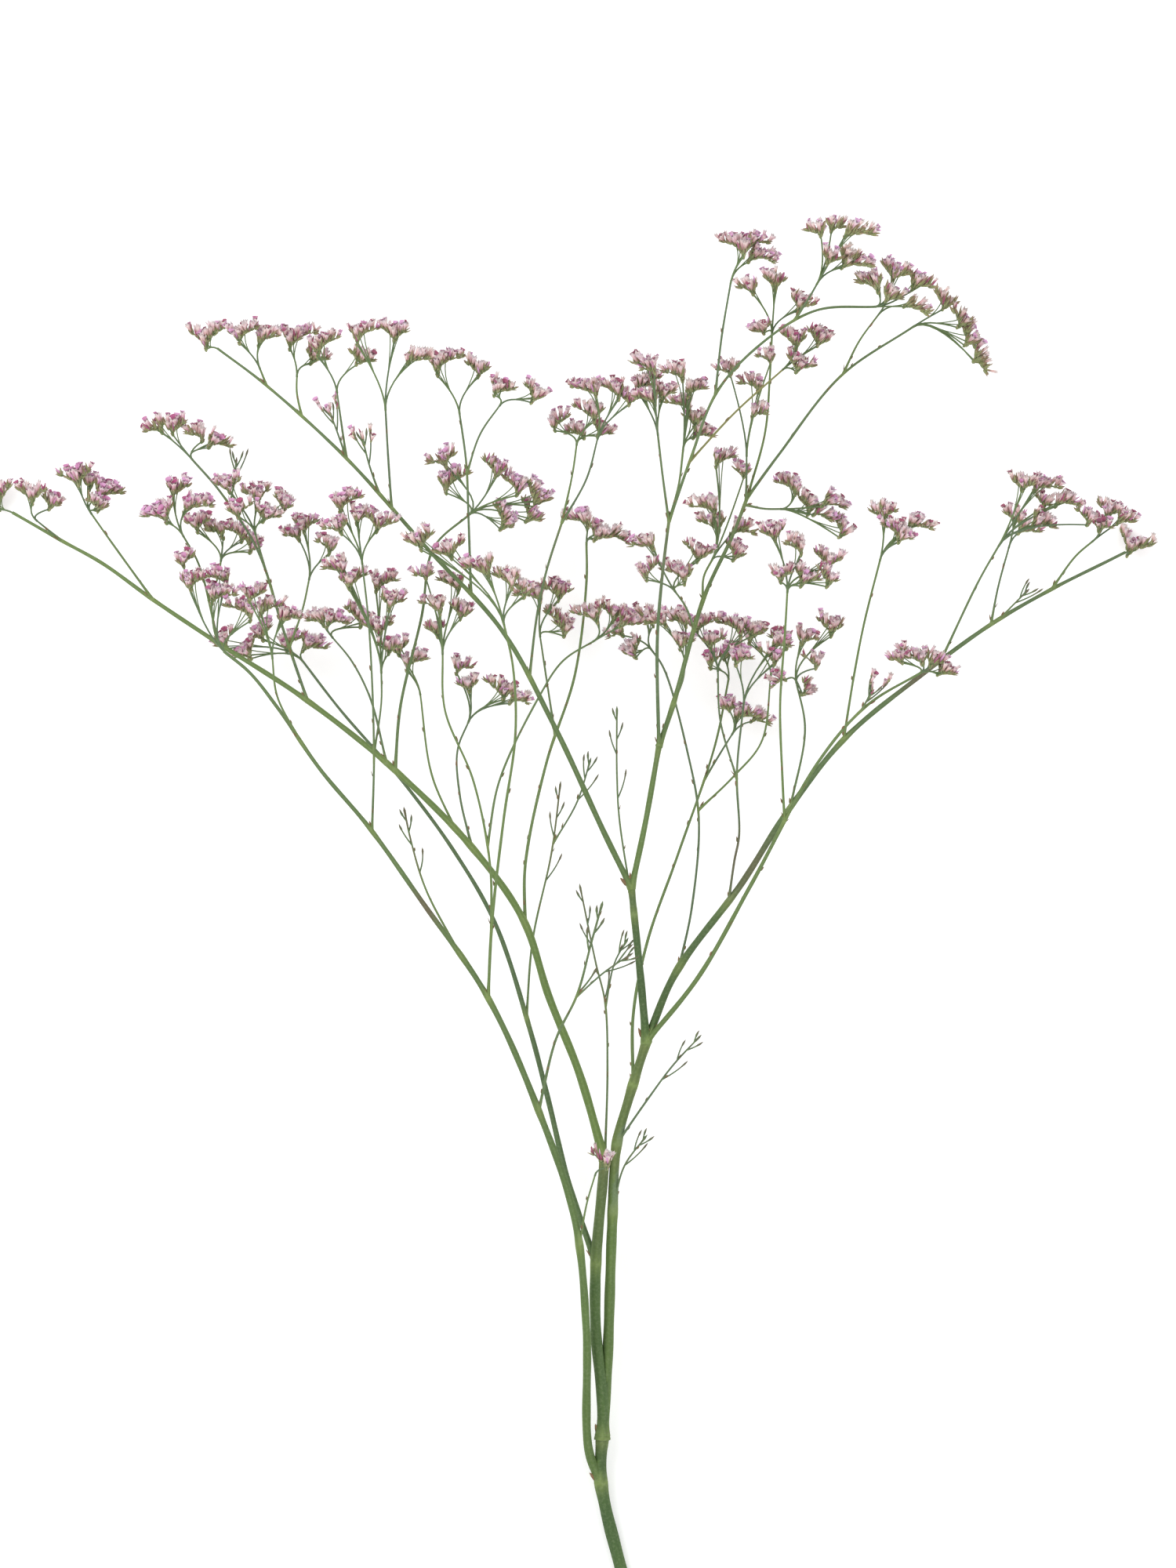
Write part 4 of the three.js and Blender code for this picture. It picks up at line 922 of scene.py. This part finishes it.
def set_group(bm, fan, place, ahead, row, near_end, draw, mood):
    growth, depth = fan["growth"], fan["depth"] * row
    upper = (growth - ahead * growth.dot(ahead) * 0.8).normalized()
    own_tint = draw(0, 1)
    faded = min(1.0, mood["brown"] + (0.6 if draw(0, 1) < 0.14 else 0.0))
    set_bracts(bm, place, ahead, upper, depth, draw, mood, faded)
    for _ in range(3 if draw(0, 1) < 0.5 - 0.3 * mood["leafy"] else 2):
        heading = growth * 0.5 + upper * 0.3 + ahead * draw(-0.1, 0.9) + depth * draw(-0.3, 0.75)
        start = place + ahead * draw(-0.8, 0.9) * MM + depth * draw(0, 0.8) * MM
        length = draw(4.3, 6.4) * (1 - 0.25 * near_end) * (1 + 0.14 * mood["leafy"])
        girth = draw(0.74, 1.02) * (1 + 0.12 * mood["fresh"])
        marks = {"tint": (own_tint * 0.6 + draw(0, 0.4)) * (1 - 0.7 * mood["leafy"]),
                 "fresh": mood["fresh"] * draw(0.4, 1.0),
                 "brown": min(1.0, faded * draw(0.5, 1.1) + draw(0, 0.25))}
        kind = choose_kind(draw, near_end, mood["fresh"], faded, mood["leafy"])
        if kind == "open" and mood["leafy"] > 0.5:
            marks["tint"] = draw(0.6, 1.0)
        set_copy(bm, FLORETS[kind], start, heading.normalized(), draw(0, math.tau),
                 (girth, girth, length / USUAL_LENGTH), marks)


trial, fan = marked_bmesh(FLORET_MARKS), all_fans[0]
set_group(trial, fan, fan["foot"], fan["growth"], 1, 0.0, seeded(1), mood_of("up_left"))
print("faces of one group:", len(trial.faces))
trial.free()

# %% [markdown]
# An arm is filled from near its foot to its end, by turns in the two rows, and closes
# with a single brown bract.

# %% Fill one arm
GROUP_STEP = 1.7 * MM
ARM_BARE = 0.14  # the share of an arm next to its foot that carries no florets


def fill_arm(bm, arm, fan, draw, mood):
    length = sum((end - start).length for start, end in zip(arm, arm[1:]))
    count = max(3, round(length / GROUP_STEP))
    for index in range(count):
        share = ARM_BARE + (1 - ARM_BARE) * (index + draw(0.2, 0.8)) / count
        place, ahead = on_line(arm, min(1.0, share))
        near_end = max(0.0, (share - 0.75) / 0.25)
        set_group(bm, fan, place, ahead, 1 if index % 2 else -1, near_end, draw, mood)
    end, ahead = on_line(arm, 1.0)
    reach = (ahead + fan["growth"] * 0.3).normalized() * 3.2 * MM
    set_keel(bm, end - ahead * MM, reach, draw, 0.9, 0.8)


trial = marked_bmesh(FLORET_MARKS)
fill_arm(trial, fan["arms"][0], fan, seeded(1), mood_of("up_left"))
print("faces on one arm:", len(trial.faces))
trial.free()

# %% [markdown]
# A head is filled fan by fan.  Two bracts clasp the foot of each fan and hide the place
# where its stalk ends.  Every head has its own seed, so a change to one head leaves the
# others as they are.

# %% Build all the heads
def build_head(owner, plan, order):
    bm = marked_bmesh(FLORET_MARKS)
    draw = seeded(5000 + order * 53)
    for fan in plan:
        for turn in (0.35, -0.5):
            reach = (fan["growth"] + fan["across"] * turn).normalized() * draw(2.0, 2.6) * MM
            start = fan["foot"] - fan["growth"] * 1.1 * MM
            set_keel(bm, start, reach, draw, draw(0.95, 1.15), draw(0, 0.6))
        for arm in fan["arms"]:
            fill_arm(bm, arm, fan, draw, mood_of(owner))
    return finished_mesh(bm, "flowers_" + owner)


head_meshes = {owner: build_head(owner, plan, order)
               for order, (owner, plan) in enumerate(head_plans.items())}
print("head faces:", sum(len(mesh.polygons) for mesh in head_meshes.values()))

# %% [markdown]
# Three thin twigs carry no head, only a few late florets close to their tips and to the
# tips of their twiglets.

# %% Late florets on three thin twigs
LATE_TWIGS = [row for row in BRANCHES if row[0] in ("g_bud_1", "g_bud_2", "over_dry")]
LATE_SHARES = (0.62, 0.8, 0.95)


def build_late_florets():
    bm, draw = marked_bmesh(FLORET_MARKS), seeded(8100)
    for name, _, tip_radius, _ in LATE_TWIGS:
        threads = [[place for place, _ in run] for run in twiglet_runs(name, tip_radius)[:2]]
        for thread in [lines[name][-9:], *threads]:
            for share in LATE_SHARES:
                place, ahead = on_line(thread, share)
                side = Quaternion(ahead, draw(0, math.tau)) @ ahead.orthogonal().normalized()
                heading = (ahead + side * draw(0.2, 0.6) + Vector((0, 0.3, 0))).normalized()
                marks = {"tint": draw(0, 0.8), "fresh": draw(0, 0.4), "brown": draw(0, 0.6)}
                kind = choose_kind(draw, 0.6, 0.2, 0.3, 0.1)
                set_copy(bm, FLORETS[kind], place, heading, draw(0, math.tau),
                         (0.9, 0.9, draw(0.85, 1.15)), marks)
    return finished_mesh(bm, "late_florets")


late_mesh = build_late_florets()
print("late floret faces:", len(late_mesh.polygons))

# %% [markdown]
# ## Scale leaves at the forks
# Statice has no leaves on its scape, only a papery brown scale that clasps each fork,
# and tiny ones along the thinner twigs.  They are the same pointed scale, flattened and
# laid along the branch that it guards.

# %% Place a scale at each fork
SCALE = gather("scale", [pointed_scale(1.0, 0.34, 1.0, lean=0.12, side=0.12, sides=6, rings=5)])


def fork_scale_spots():
    spots = []
    for name, root_radius, _, _ in BRANCHES[1:]:
        line = lines[name]
        index = min(len(line) - 2, 2)
        along = (line[index + 1] - line[index]).normalized()
        side = Vector((-along.y, along.x, 0.3)).normalized()
        stout = max(0.55, min(1.0, root_radius / 1.4))
        heading = (along * 0.95 + side * 0.3).normalized()
        place = line[index] + side * root_radius * 0.7 * MM - along * 1.4 * MM
        spots.append((place, heading, (2.2 * stout, 2.2 * stout, 5.4 * stout)))
    return spots


scale_spots = fork_scale_spots()
print("scales at forks:", len(scale_spots))

# %% [markdown]
# The tiny scales stand one to two and a half centimetres apart, each turned to another
# side of its twig.

# %% Place the tiny scales and build them all
THIN_BRANCH = 1.25  # millimetres of radius at the root


def twig_scale_spots():
    spots = []
    for order, (name, root_radius, tip_radius, _) in enumerate(BRANCHES):
        if root_radius > THIN_BRANCH:
            continue
        line, draw = lines[name], seeded(300 + order)
        index = round(draw(5, 9))
        while index < len(line) - 3:
            along = (line[index + 1] - line[index]).normalized()
            out = Quaternion(along, draw(0, math.tau)) @ along.orthogonal().normalized()
            radius = (root_radius + (tip_radius - root_radius) * index / len(line)) * MM
            heading = (along + out * 0.28).normalized()
            spots.append((line[index] + out * radius * 0.7, heading, (1.1, 1.1, draw(1.8, 2.8))))
            index += round(draw(7, 16))
    return spots


def build_scales(spots):
    bm, draw = marked_bmesh((*SHAPE_MARKS, "tint")), seeded(77)
    for place, heading, size in spots:
        set_copy(bm, SCALE, place, heading, draw(0, math.tau), size, {"tint": draw(0, 1)})
    return finished_mesh(bm, "scale_leaves")


scale_spots += twig_scale_spots()
scale_mesh = build_scales(scale_spots)
print("scale leaves:", len(scale_spots))

# %% [markdown]
# ## Marks for the colour of the stems
# A stem is lighter and yellower where it forks, greyer where it is fine and brown where
# it has dried, and some twigs are more lime than others.  Numbers at each corner carry
# that to the paint.  They are first worked out for every step of a line.

# %% Measure the stems
DRY_TIPS = {"arm_dry": 1.0, "over_dry": 1.0, "far_dry": 1.0, "small_1_side": 0.7, "small_2": 0.5,
            "small_5": 0.6, "left_back": 0.8, "g_bud_1": 0.4, "g_bud_2": 0.5, "small_4": 0.4}
# Each row: the middle of a brown stretch and how far it reaches, in millimetres.
BROWN_STRETCHES = [((-105, 72, 52), 16), ((71, 34, 47), 18), ((150, 111, 42), 12),
                   ((-60, 12, 69), 10)]
FORK_REACH = 4.5 * MM
FINEST, STOUTEST = 0.6, 2.0  # millimetres of radius between which a stem turns greyer


def stem_marks(run, dry_tip, yellow, lime):
    marks = []
    for index, (place, radius) in enumerate(run):
        near = fork_tree.find(place)[2] / FORK_REACH
        stretch = max(math.exp(-((place / MM - Vector(spot)).length / size) ** 2)
                      for spot, size in BROWN_STRETCHES)
        tip = max(0.0, index / (len(run) - 1) * 1.6 - 0.6)
        fine = (STOUTEST - radius / MM) / (STOUTEST - FINEST)
        marks.append((place, {"radius": radius, "fork": math.exp(-near * near),
                              "fine": min(1.0, max(0.0, fine)),
                              "dry": max(stretch * 0.7, dry_tip * tip),
                              "yellow": yellow, "lime": lime}))
    return marks


foot_mark = stem_marks(branch_runs[0], 0.0, 0.0, 0.0)[0][1]
print("marks at the cut foot:", {name: round(value, 3) for name, value in foot_mark.items()})

# %% [markdown]
# Each corner then reads the marks of the nearest step, found with a k-d tree again.  Its
# gap to the line tells whether it lies on a rib or in a groove, and the grooves are
# darkened with painted shade.

# %% Carry the marks to the corners
STEM_MARKS = ("fork", "fine", "dry", "yellow", "lime", "groove_shade")


def mark_mesh(mesh, marks):
    tree = nearest_of([place for place, _ in marks])
    found = []
    for vert in mesh.vertices:
        _, index, gap = tree.find(vert.co)
        values = marks[index][1]
        # how deep the corner lies in a groove; the paint uses it for painted shade in the grooves
        depth = (values["radius"] - gap) / (RIB_DEPTH * values["radius"])
        found.append({**values, "groove_shade": min(1.0, max(0.0, depth))})
    for layer_name in STEM_MARKS:
        layer = mesh.attributes.new(layer_name, "FLOAT", "POINT")
        layer.data.foreach_set("value", [values[layer_name] for values in found])


limes, branch_marks = seeded(640), []
for run, (name, *_) in zip(branch_runs, BRANCHES):
    dry_tip = DRY_TIPS.get(name, 0.25 if name in LEFT_BARE else 0.0)
    branch_marks += stem_marks(run, dry_tip, float(name == "ochre"), limes(0, 1))
for run in twiglets:
    branch_marks += stem_marks(run, 0.8, 0.0, limes(0, 0.5))
mark_mesh(stem_mesh, branch_marks)
stalk_marks = [row for run in stalk_runs for row in stem_marks(run, 0.0, 0.0, limes(0, 0.7))]
mark_mesh(stalk_mesh, stalk_marks)
mark_mesh(axis_mesh, [row for run in arm_runs for row in stem_marks(run, 0.0, 0.0, 0.6)])
print("corners marked:", len(stem_mesh.vertices) + len(stalk_mesh.vertices))

# %% [markdown]
# ## Paint
# Every finish is worked out by nodes from the place of a point and from the marks that
# the pieces carry.  Written node by node that is hard to read, so a Sum wraps a socket
# and lets it be added and multiplied like a number: each operator adds a Math node.

# %% Arithmetic on shader sockets
class Sum:
    def __init__(self, finish, socket):
        self.finish, self.socket = finish, socket

    def _math(self, operation, first, second):
        return self.finish.node("ShaderNodeMath", {"operation": operation}, {0: first, 1: second})

    def __add__(self, other):
        return self._math("ADD", self, other)

    def __sub__(self, other):
        return self._math("SUBTRACT", self, other)

    def __mul__(self, other):
        return self._math("MULTIPLY", self, other)

    __radd__ = __add__  # for a number that stands on the left, as in 0.5 + noise


print("operators of a Sum:", [name for name in ("__add__", "__sub__", "__mul__") if name in vars(Sum)])

# %% [markdown]
# A Finish holds one material and makes its nodes.  Give sets a socket to a number or
# links it, mark reads a mark of the mesh, mix blends two colours by a mask, and ramp
# stretches a range of values to the full range from 0 to 1.

# %% A material and its nodes
def paint(red, green, blue):
    """A colour on the 0 to 255 scale of a paint chart, as linear light."""
    parts = [part / 255 for part in (red, green, blue)]
    return (*(((part + 0.055) / 1.055) ** 2.4 for part in parts), 1.0)


class Finish:
    def __init__(self, name, **constants):
        self.material = bpy.data.materials.new(name)
        self.material.use_nodes = True
        self.tree = self.material.node_tree
        self.shader = self.tree.nodes["Principled BSDF"]
        for socket, value in constants.items():
            self.shader.inputs[socket.replace("_", " ")].default_value = value

    def give(self, socket, value):
        if isinstance(value, Sum):
            self.tree.links.new(value.socket, socket)
        else:
            socket.default_value = value

    def node(self, kind, settings=None, sockets=None, output=0):
        made = self.tree.nodes.new(kind)
        for name, value in (settings or {}).items():
            setattr(made, name, value)
        for name, value in (sockets or {}).items():
            self.give(made.inputs[name], value)
        return Sum(self, made.outputs[output])

    def mark(self, name):
        return self.node("ShaderNodeAttribute", {"attribute_name": name}, output="Fac")

    def mix(self, mask, without, within):
        return self.node("ShaderNodeMix", {"data_type": "RGBA", "clamp_factor": True},
                         {0: mask, 6: without, 7: within}, output=2)

    def ramp(self, value, low, high):
        return self.node("ShaderNodeMapRange", {"clamp": True},
                         {"Value": value, "From Min": low, "From Max": high})

    def noise(self, scale, detail):
        place = self.node("ShaderNodeTexCoord", output="Object")
        return self.node("ShaderNodeTexNoise", sockets={"Vector": place, "Scale": scale,
                                                        "Detail": detail, "Roughness": 0.55})

    def coat(self, colour, roughness, grain, depth):
        """Link the colour and the roughness, and let the grain raise the surface a little."""
        bump = self.node("ShaderNodeBump", sockets={"Height": grain, "Distance": depth,
                                                    "Strength": 0.5})
        for name, value in (("Base Color", colour), ("Roughness", roughness), ("Normal", bump)):
            self.give(self.shader.inputs[name], value)
        return self.material


print("a fresh green in linear light:", [round(part, 3) for part in paint(104, 136, 72)])

# %% [markdown]
# ### Green stems
# The scape is a fresh green, lighter and yellower at the forks and greyer on the fine
# stalks.  Slow noise lets one stretch turn bluish and the next one warm, quick noise
# gives the fine grain and pale specks of painted highlight, the dry mark brings in a
# purplish brown and the grooves between the ribs get painted shade.  The skin is matt
# with a soft waxy gloss.

# %% The finish of the stems
def stem_finish():
    green = Finish("waxy green stem", Specular_IOR_Level=0.35)
    slow, quick = green.noise(28.0, 2.0), green.noise(900.0, 4.0)
    body = green.mix(green.ramp(slow, 0.35, 0.65), paint(58, 86, 44), paint(82, 110, 56))
    fine = green.mark("fine") * 0.85
    grey = green.mix(slow, paint(86, 108, 80), paint(112, 128, 104))
    body = green.mix(fine, body, grey)
    body = green.mix(green.mark("lime") * 0.65, body, paint(124, 148, 76))
    body = green.mix(green.mark("fork") * 0.6, body, paint(132, 150, 84))
    body = green.mix(green.mark("yellow") * 0.8, body, paint(154, 148, 90))
    dry = green.ramp(green.mark("dry") + (slow - 0.5) * 0.5, 0.12, 0.8)
    body = green.mix(dry, body, green.mix(slow, paint(98, 78, 74), paint(124, 104, 84)))
    # painted highlight: pale specks on the fine grain stand in for glints of light
    body = green.mix(green.ramp(quick, 0.45, 0.8) * 0.28, body, paint(160, 174, 136))
    # painted shade: the grooves between the ribs are darkened
    body = green.mix(green.mark("groove_shade") * 0.35, body, paint(58, 82, 44))
    return green.coat(body, 0.52 + quick * 0.2, quick, 0.12 * MM)


stem_paint = stem_finish()
print("made:", stem_paint.name)

# %% [markdown]
# ### Papery scales
# The scale leaves are thin and dry, between olive and brown, and paler towards their
# point.

# %% The finish of the scales
def scale_finish():
    scale = Finish("dry brown scale", Specular_IOR_Level=0.25)
    grain = scale.noise(700.0, 3.0)
    body = scale.mix(scale.mark("tint"), paint(112, 112, 72), paint(134, 104, 80))
    body = scale.mix(scale.ramp(scale.mark("height"), 0.45, 1.0), body, paint(150, 118, 92))
    body = scale.mix(scale.ramp(grain, 0.5, 0.8) * 0.4, body, paint(92, 62, 54))
    return scale.coat(body, 0.62 + grain * 0.25, grain, 0.1 * MM)


scale_paint = scale_finish()
print("made:", scale_paint.name)

# %% [markdown]
# ### Florets
# One material paints a whole head.  The organ mark tells bract from calyx from petal,
# and height runs from foot to tip, so a calyx can be tan at its foot, pink in its middle
# and pale at its frilled rim while its bracts go from olive to maroon.  Tint moves every
# floret a little between salmon and mauve, fresh brings the deep pink and brown the
# faded look.

# %% The finish of the florets
def floret_finish():
    paper = Finish("papery pink floret", Specular_IOR_Level=0.2, Sheen_Weight=0.25, Sheen_Roughness=0.5)
    organ, height, tint = paper.mark("organ"), paper.mark("height"), paper.mark("tint")
    fresh, brown, grain = paper.mark("fresh"), paper.mark("brown"), paper.noise(1400.0, 3.0)
    pink = paper.mix(tint, paint(238, 206, 196), paint(230, 190, 202))
    pink = paper.mix(fresh * 0.8, pink, paint(222, 150, 196))
    rim = paper.mix(tint, paint(248, 234, 226), paint(240, 224, 234))
    rim = paper.mix(paper.ramp(height, 0.5, 0.95), pink, rim)
    above = paper.ramp(height, 0.0, 0.45)
    base = paper.mix(tint, paint(168, 118, 104), paint(186, 166, 126))
    funnel = paper.mix(above, base, rim)
    funnel = paper.mix(paper.ramp(brown, 0.3, 1.0) * 0.6, funnel, paint(168, 118, 118))
    lilac = paper.mix(tint, paint(206, 132, 176), paint(222, 176, 216))
    vein = paper.ramp(paper.mark("vein"), 0.55, 1.0) * paper.ramp(height, 1.0, 0.5)
    funnel = paper.mix(vein * 0.4, funnel, paint(146, 80, 90))
    deep = paper.mix(fresh, paint(156, 84, 106), paint(190, 74, 144))
    petal = paper.mix(paper.ramp(tint + fresh * 0.3, 0.35, 0.6), deep, lilac)
    petal = paper.mix(paper.ramp(height, 0.0, 0.6), paint(150, 62, 104), petal)
    scale = paper.mix(tint, paint(154, 160, 108), paint(122, 136, 84))
    point = paper.mix(brown, paint(160, 138, 104), paint(122, 72, 70))
    scale = paper.mix(paper.ramp(height, 0.4, 0.85), scale, point)
    flower = paper.mix(paper.ramp(organ, 0.7, 0.8), funnel, petal)
    body = paper.mix(paper.ramp(organ, 0.2, 0.3), scale, flower)
    body = paper.mix(paper.ramp(grain, 0.5, 0.8) * 0.3, body, paint(246, 226, 220))
    return paper.coat(body, 0.6 + grain * 0.25, grain, 0.12 * MM)


floret_paint = floret_finish()
print("made:", floret_paint.name)

# %% [markdown]
# ## Setting the pieces down
# Each finished mesh becomes an object at the origin with its place in its mesh.  It
# rides on the one body of the part and stands for the solids that it covers.  Where the
# spray lies on the table it is pressed flat, by less than a quarter of a millimetre.

# %% Make the pieces
def settle(mesh, material, slot, *nodes):
    for vert in mesh.vertices:
        vert.co.z = max(vert.co.z, 0.0)
    mesh.materials.clear()
    mesh.materials.append(material)
    mesh.polygons.foreach_set("use_smooth", [True] * len(mesh.polygons))
    piece = add_object(mesh.name, mesh)
    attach(piece, "root")
    if nodes:
        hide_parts(*nodes)
    return piece


settle(stem_mesh, stem_paint, "green_stem", "stem").name = "green_stems"
settle(stalk_mesh, stem_paint, "green_stem")
settle(axis_mesh, stem_paint, "green_stem")
settle(scale_mesh, scale_paint, "green_stem")
for owner, mesh in head_meshes.items():
    settle(mesh, floret_paint, "pink_florets", "flowers_" + owner).name = "florets_" + owner
settle(late_mesh, floret_paint, "pink_florets")

# %% [markdown]
# ## Table, light and camera
# The spray lies on a plain white table.  The table glows faintly, which lifts it to pure
# white without washing out the spray.

# %% The table
TABLE_HALF = 3.0


def white_table():
    bm = bmesh.new()
    bmesh.ops.create_grid(bm, x_segments=1, y_segments=1, size=TABLE_HALF)
    mesh = finished_mesh(bm, "white_table")
    table = add_object("white_table", mesh)
    white = Finish("white table", Base_Color=(0.93, 0.93, 0.93, 1), Roughness=0.9,
                   Emission_Color=(1, 1, 1, 1), Emission_Strength=0.24)
    mesh.materials.append(white.material)
    return table


table = white_table()
print("table:", [round(side, 2) for side in table.dimensions])

# %% [markdown]
# The light is wide and soft, as from a window, with a weaker lamp across from it and a
# pale room all round, so that the shadows under the twigs stay faint.

# %% The light
def soft_lamp(name, place, size, power):
    light = bpy.data.lights.new(name, "AREA")
    light.shape, light.size, light.energy = "DISK", size, power
    lamp = add_object(name, light)
    lamp.location = place
    lamp.rotation_mode = "QUATERNION"
    lamp.rotation_quaternion = Vector(place).to_track_quat("Z", "Y")


soft_lamp("window_light", (-1.6, 1.5, 2.4), 2.2, 36.0)
soft_lamp("fill_light", (1.8, -0.6, 2.2), 2.6, 12.0)
world = bpy.data.worlds.new("pale_room")
world.use_nodes = True
world.node_tree.nodes["Background"].inputs["Color"].default_value = (1, 1, 1, 1)
world.node_tree.nodes["Background"].inputs["Strength"].default_value = 0.82
bpy.context.scene.world = world
bpy.context.scene.view_settings.view_transform = "Standard"

# %% [markdown]
# The camera looks straight down from far above with a long lens, so that near twigs look
# hardly larger than far ones.  The view is framed in picture points, three to a
# millimetre, and its middle lies a little to the right of and above the frame's origin.

# %% The camera
POINTS_PER_MM = 3
VIEW_HEIGHT = 2000 / POINTS_PER_MM * MM
VIEW_CENTRE = Vector((26 / POINTS_PER_MM, 191 / POINTS_PER_MM, 60)) * MM
CAMERA_DISTANCE = 6.0
SENSOR = 36.0


def camera_above():
    lens = bpy.data.cameras.new("camera")
    lens.sensor_width = SENSOR
    lens.lens = SENSOR * CAMERA_DISTANCE / VIEW_HEIGHT
    camera = add_object("camera", lens)
    camera.location = VIEW_CENTRE + Vector((0, 0, CAMERA_DISTANCE))
    bpy.context.scene.camera = camera
    return camera


camera = camera_above()
print("lens:", round(camera.data.lens), "mm")

# %% [markdown]
# ## Done
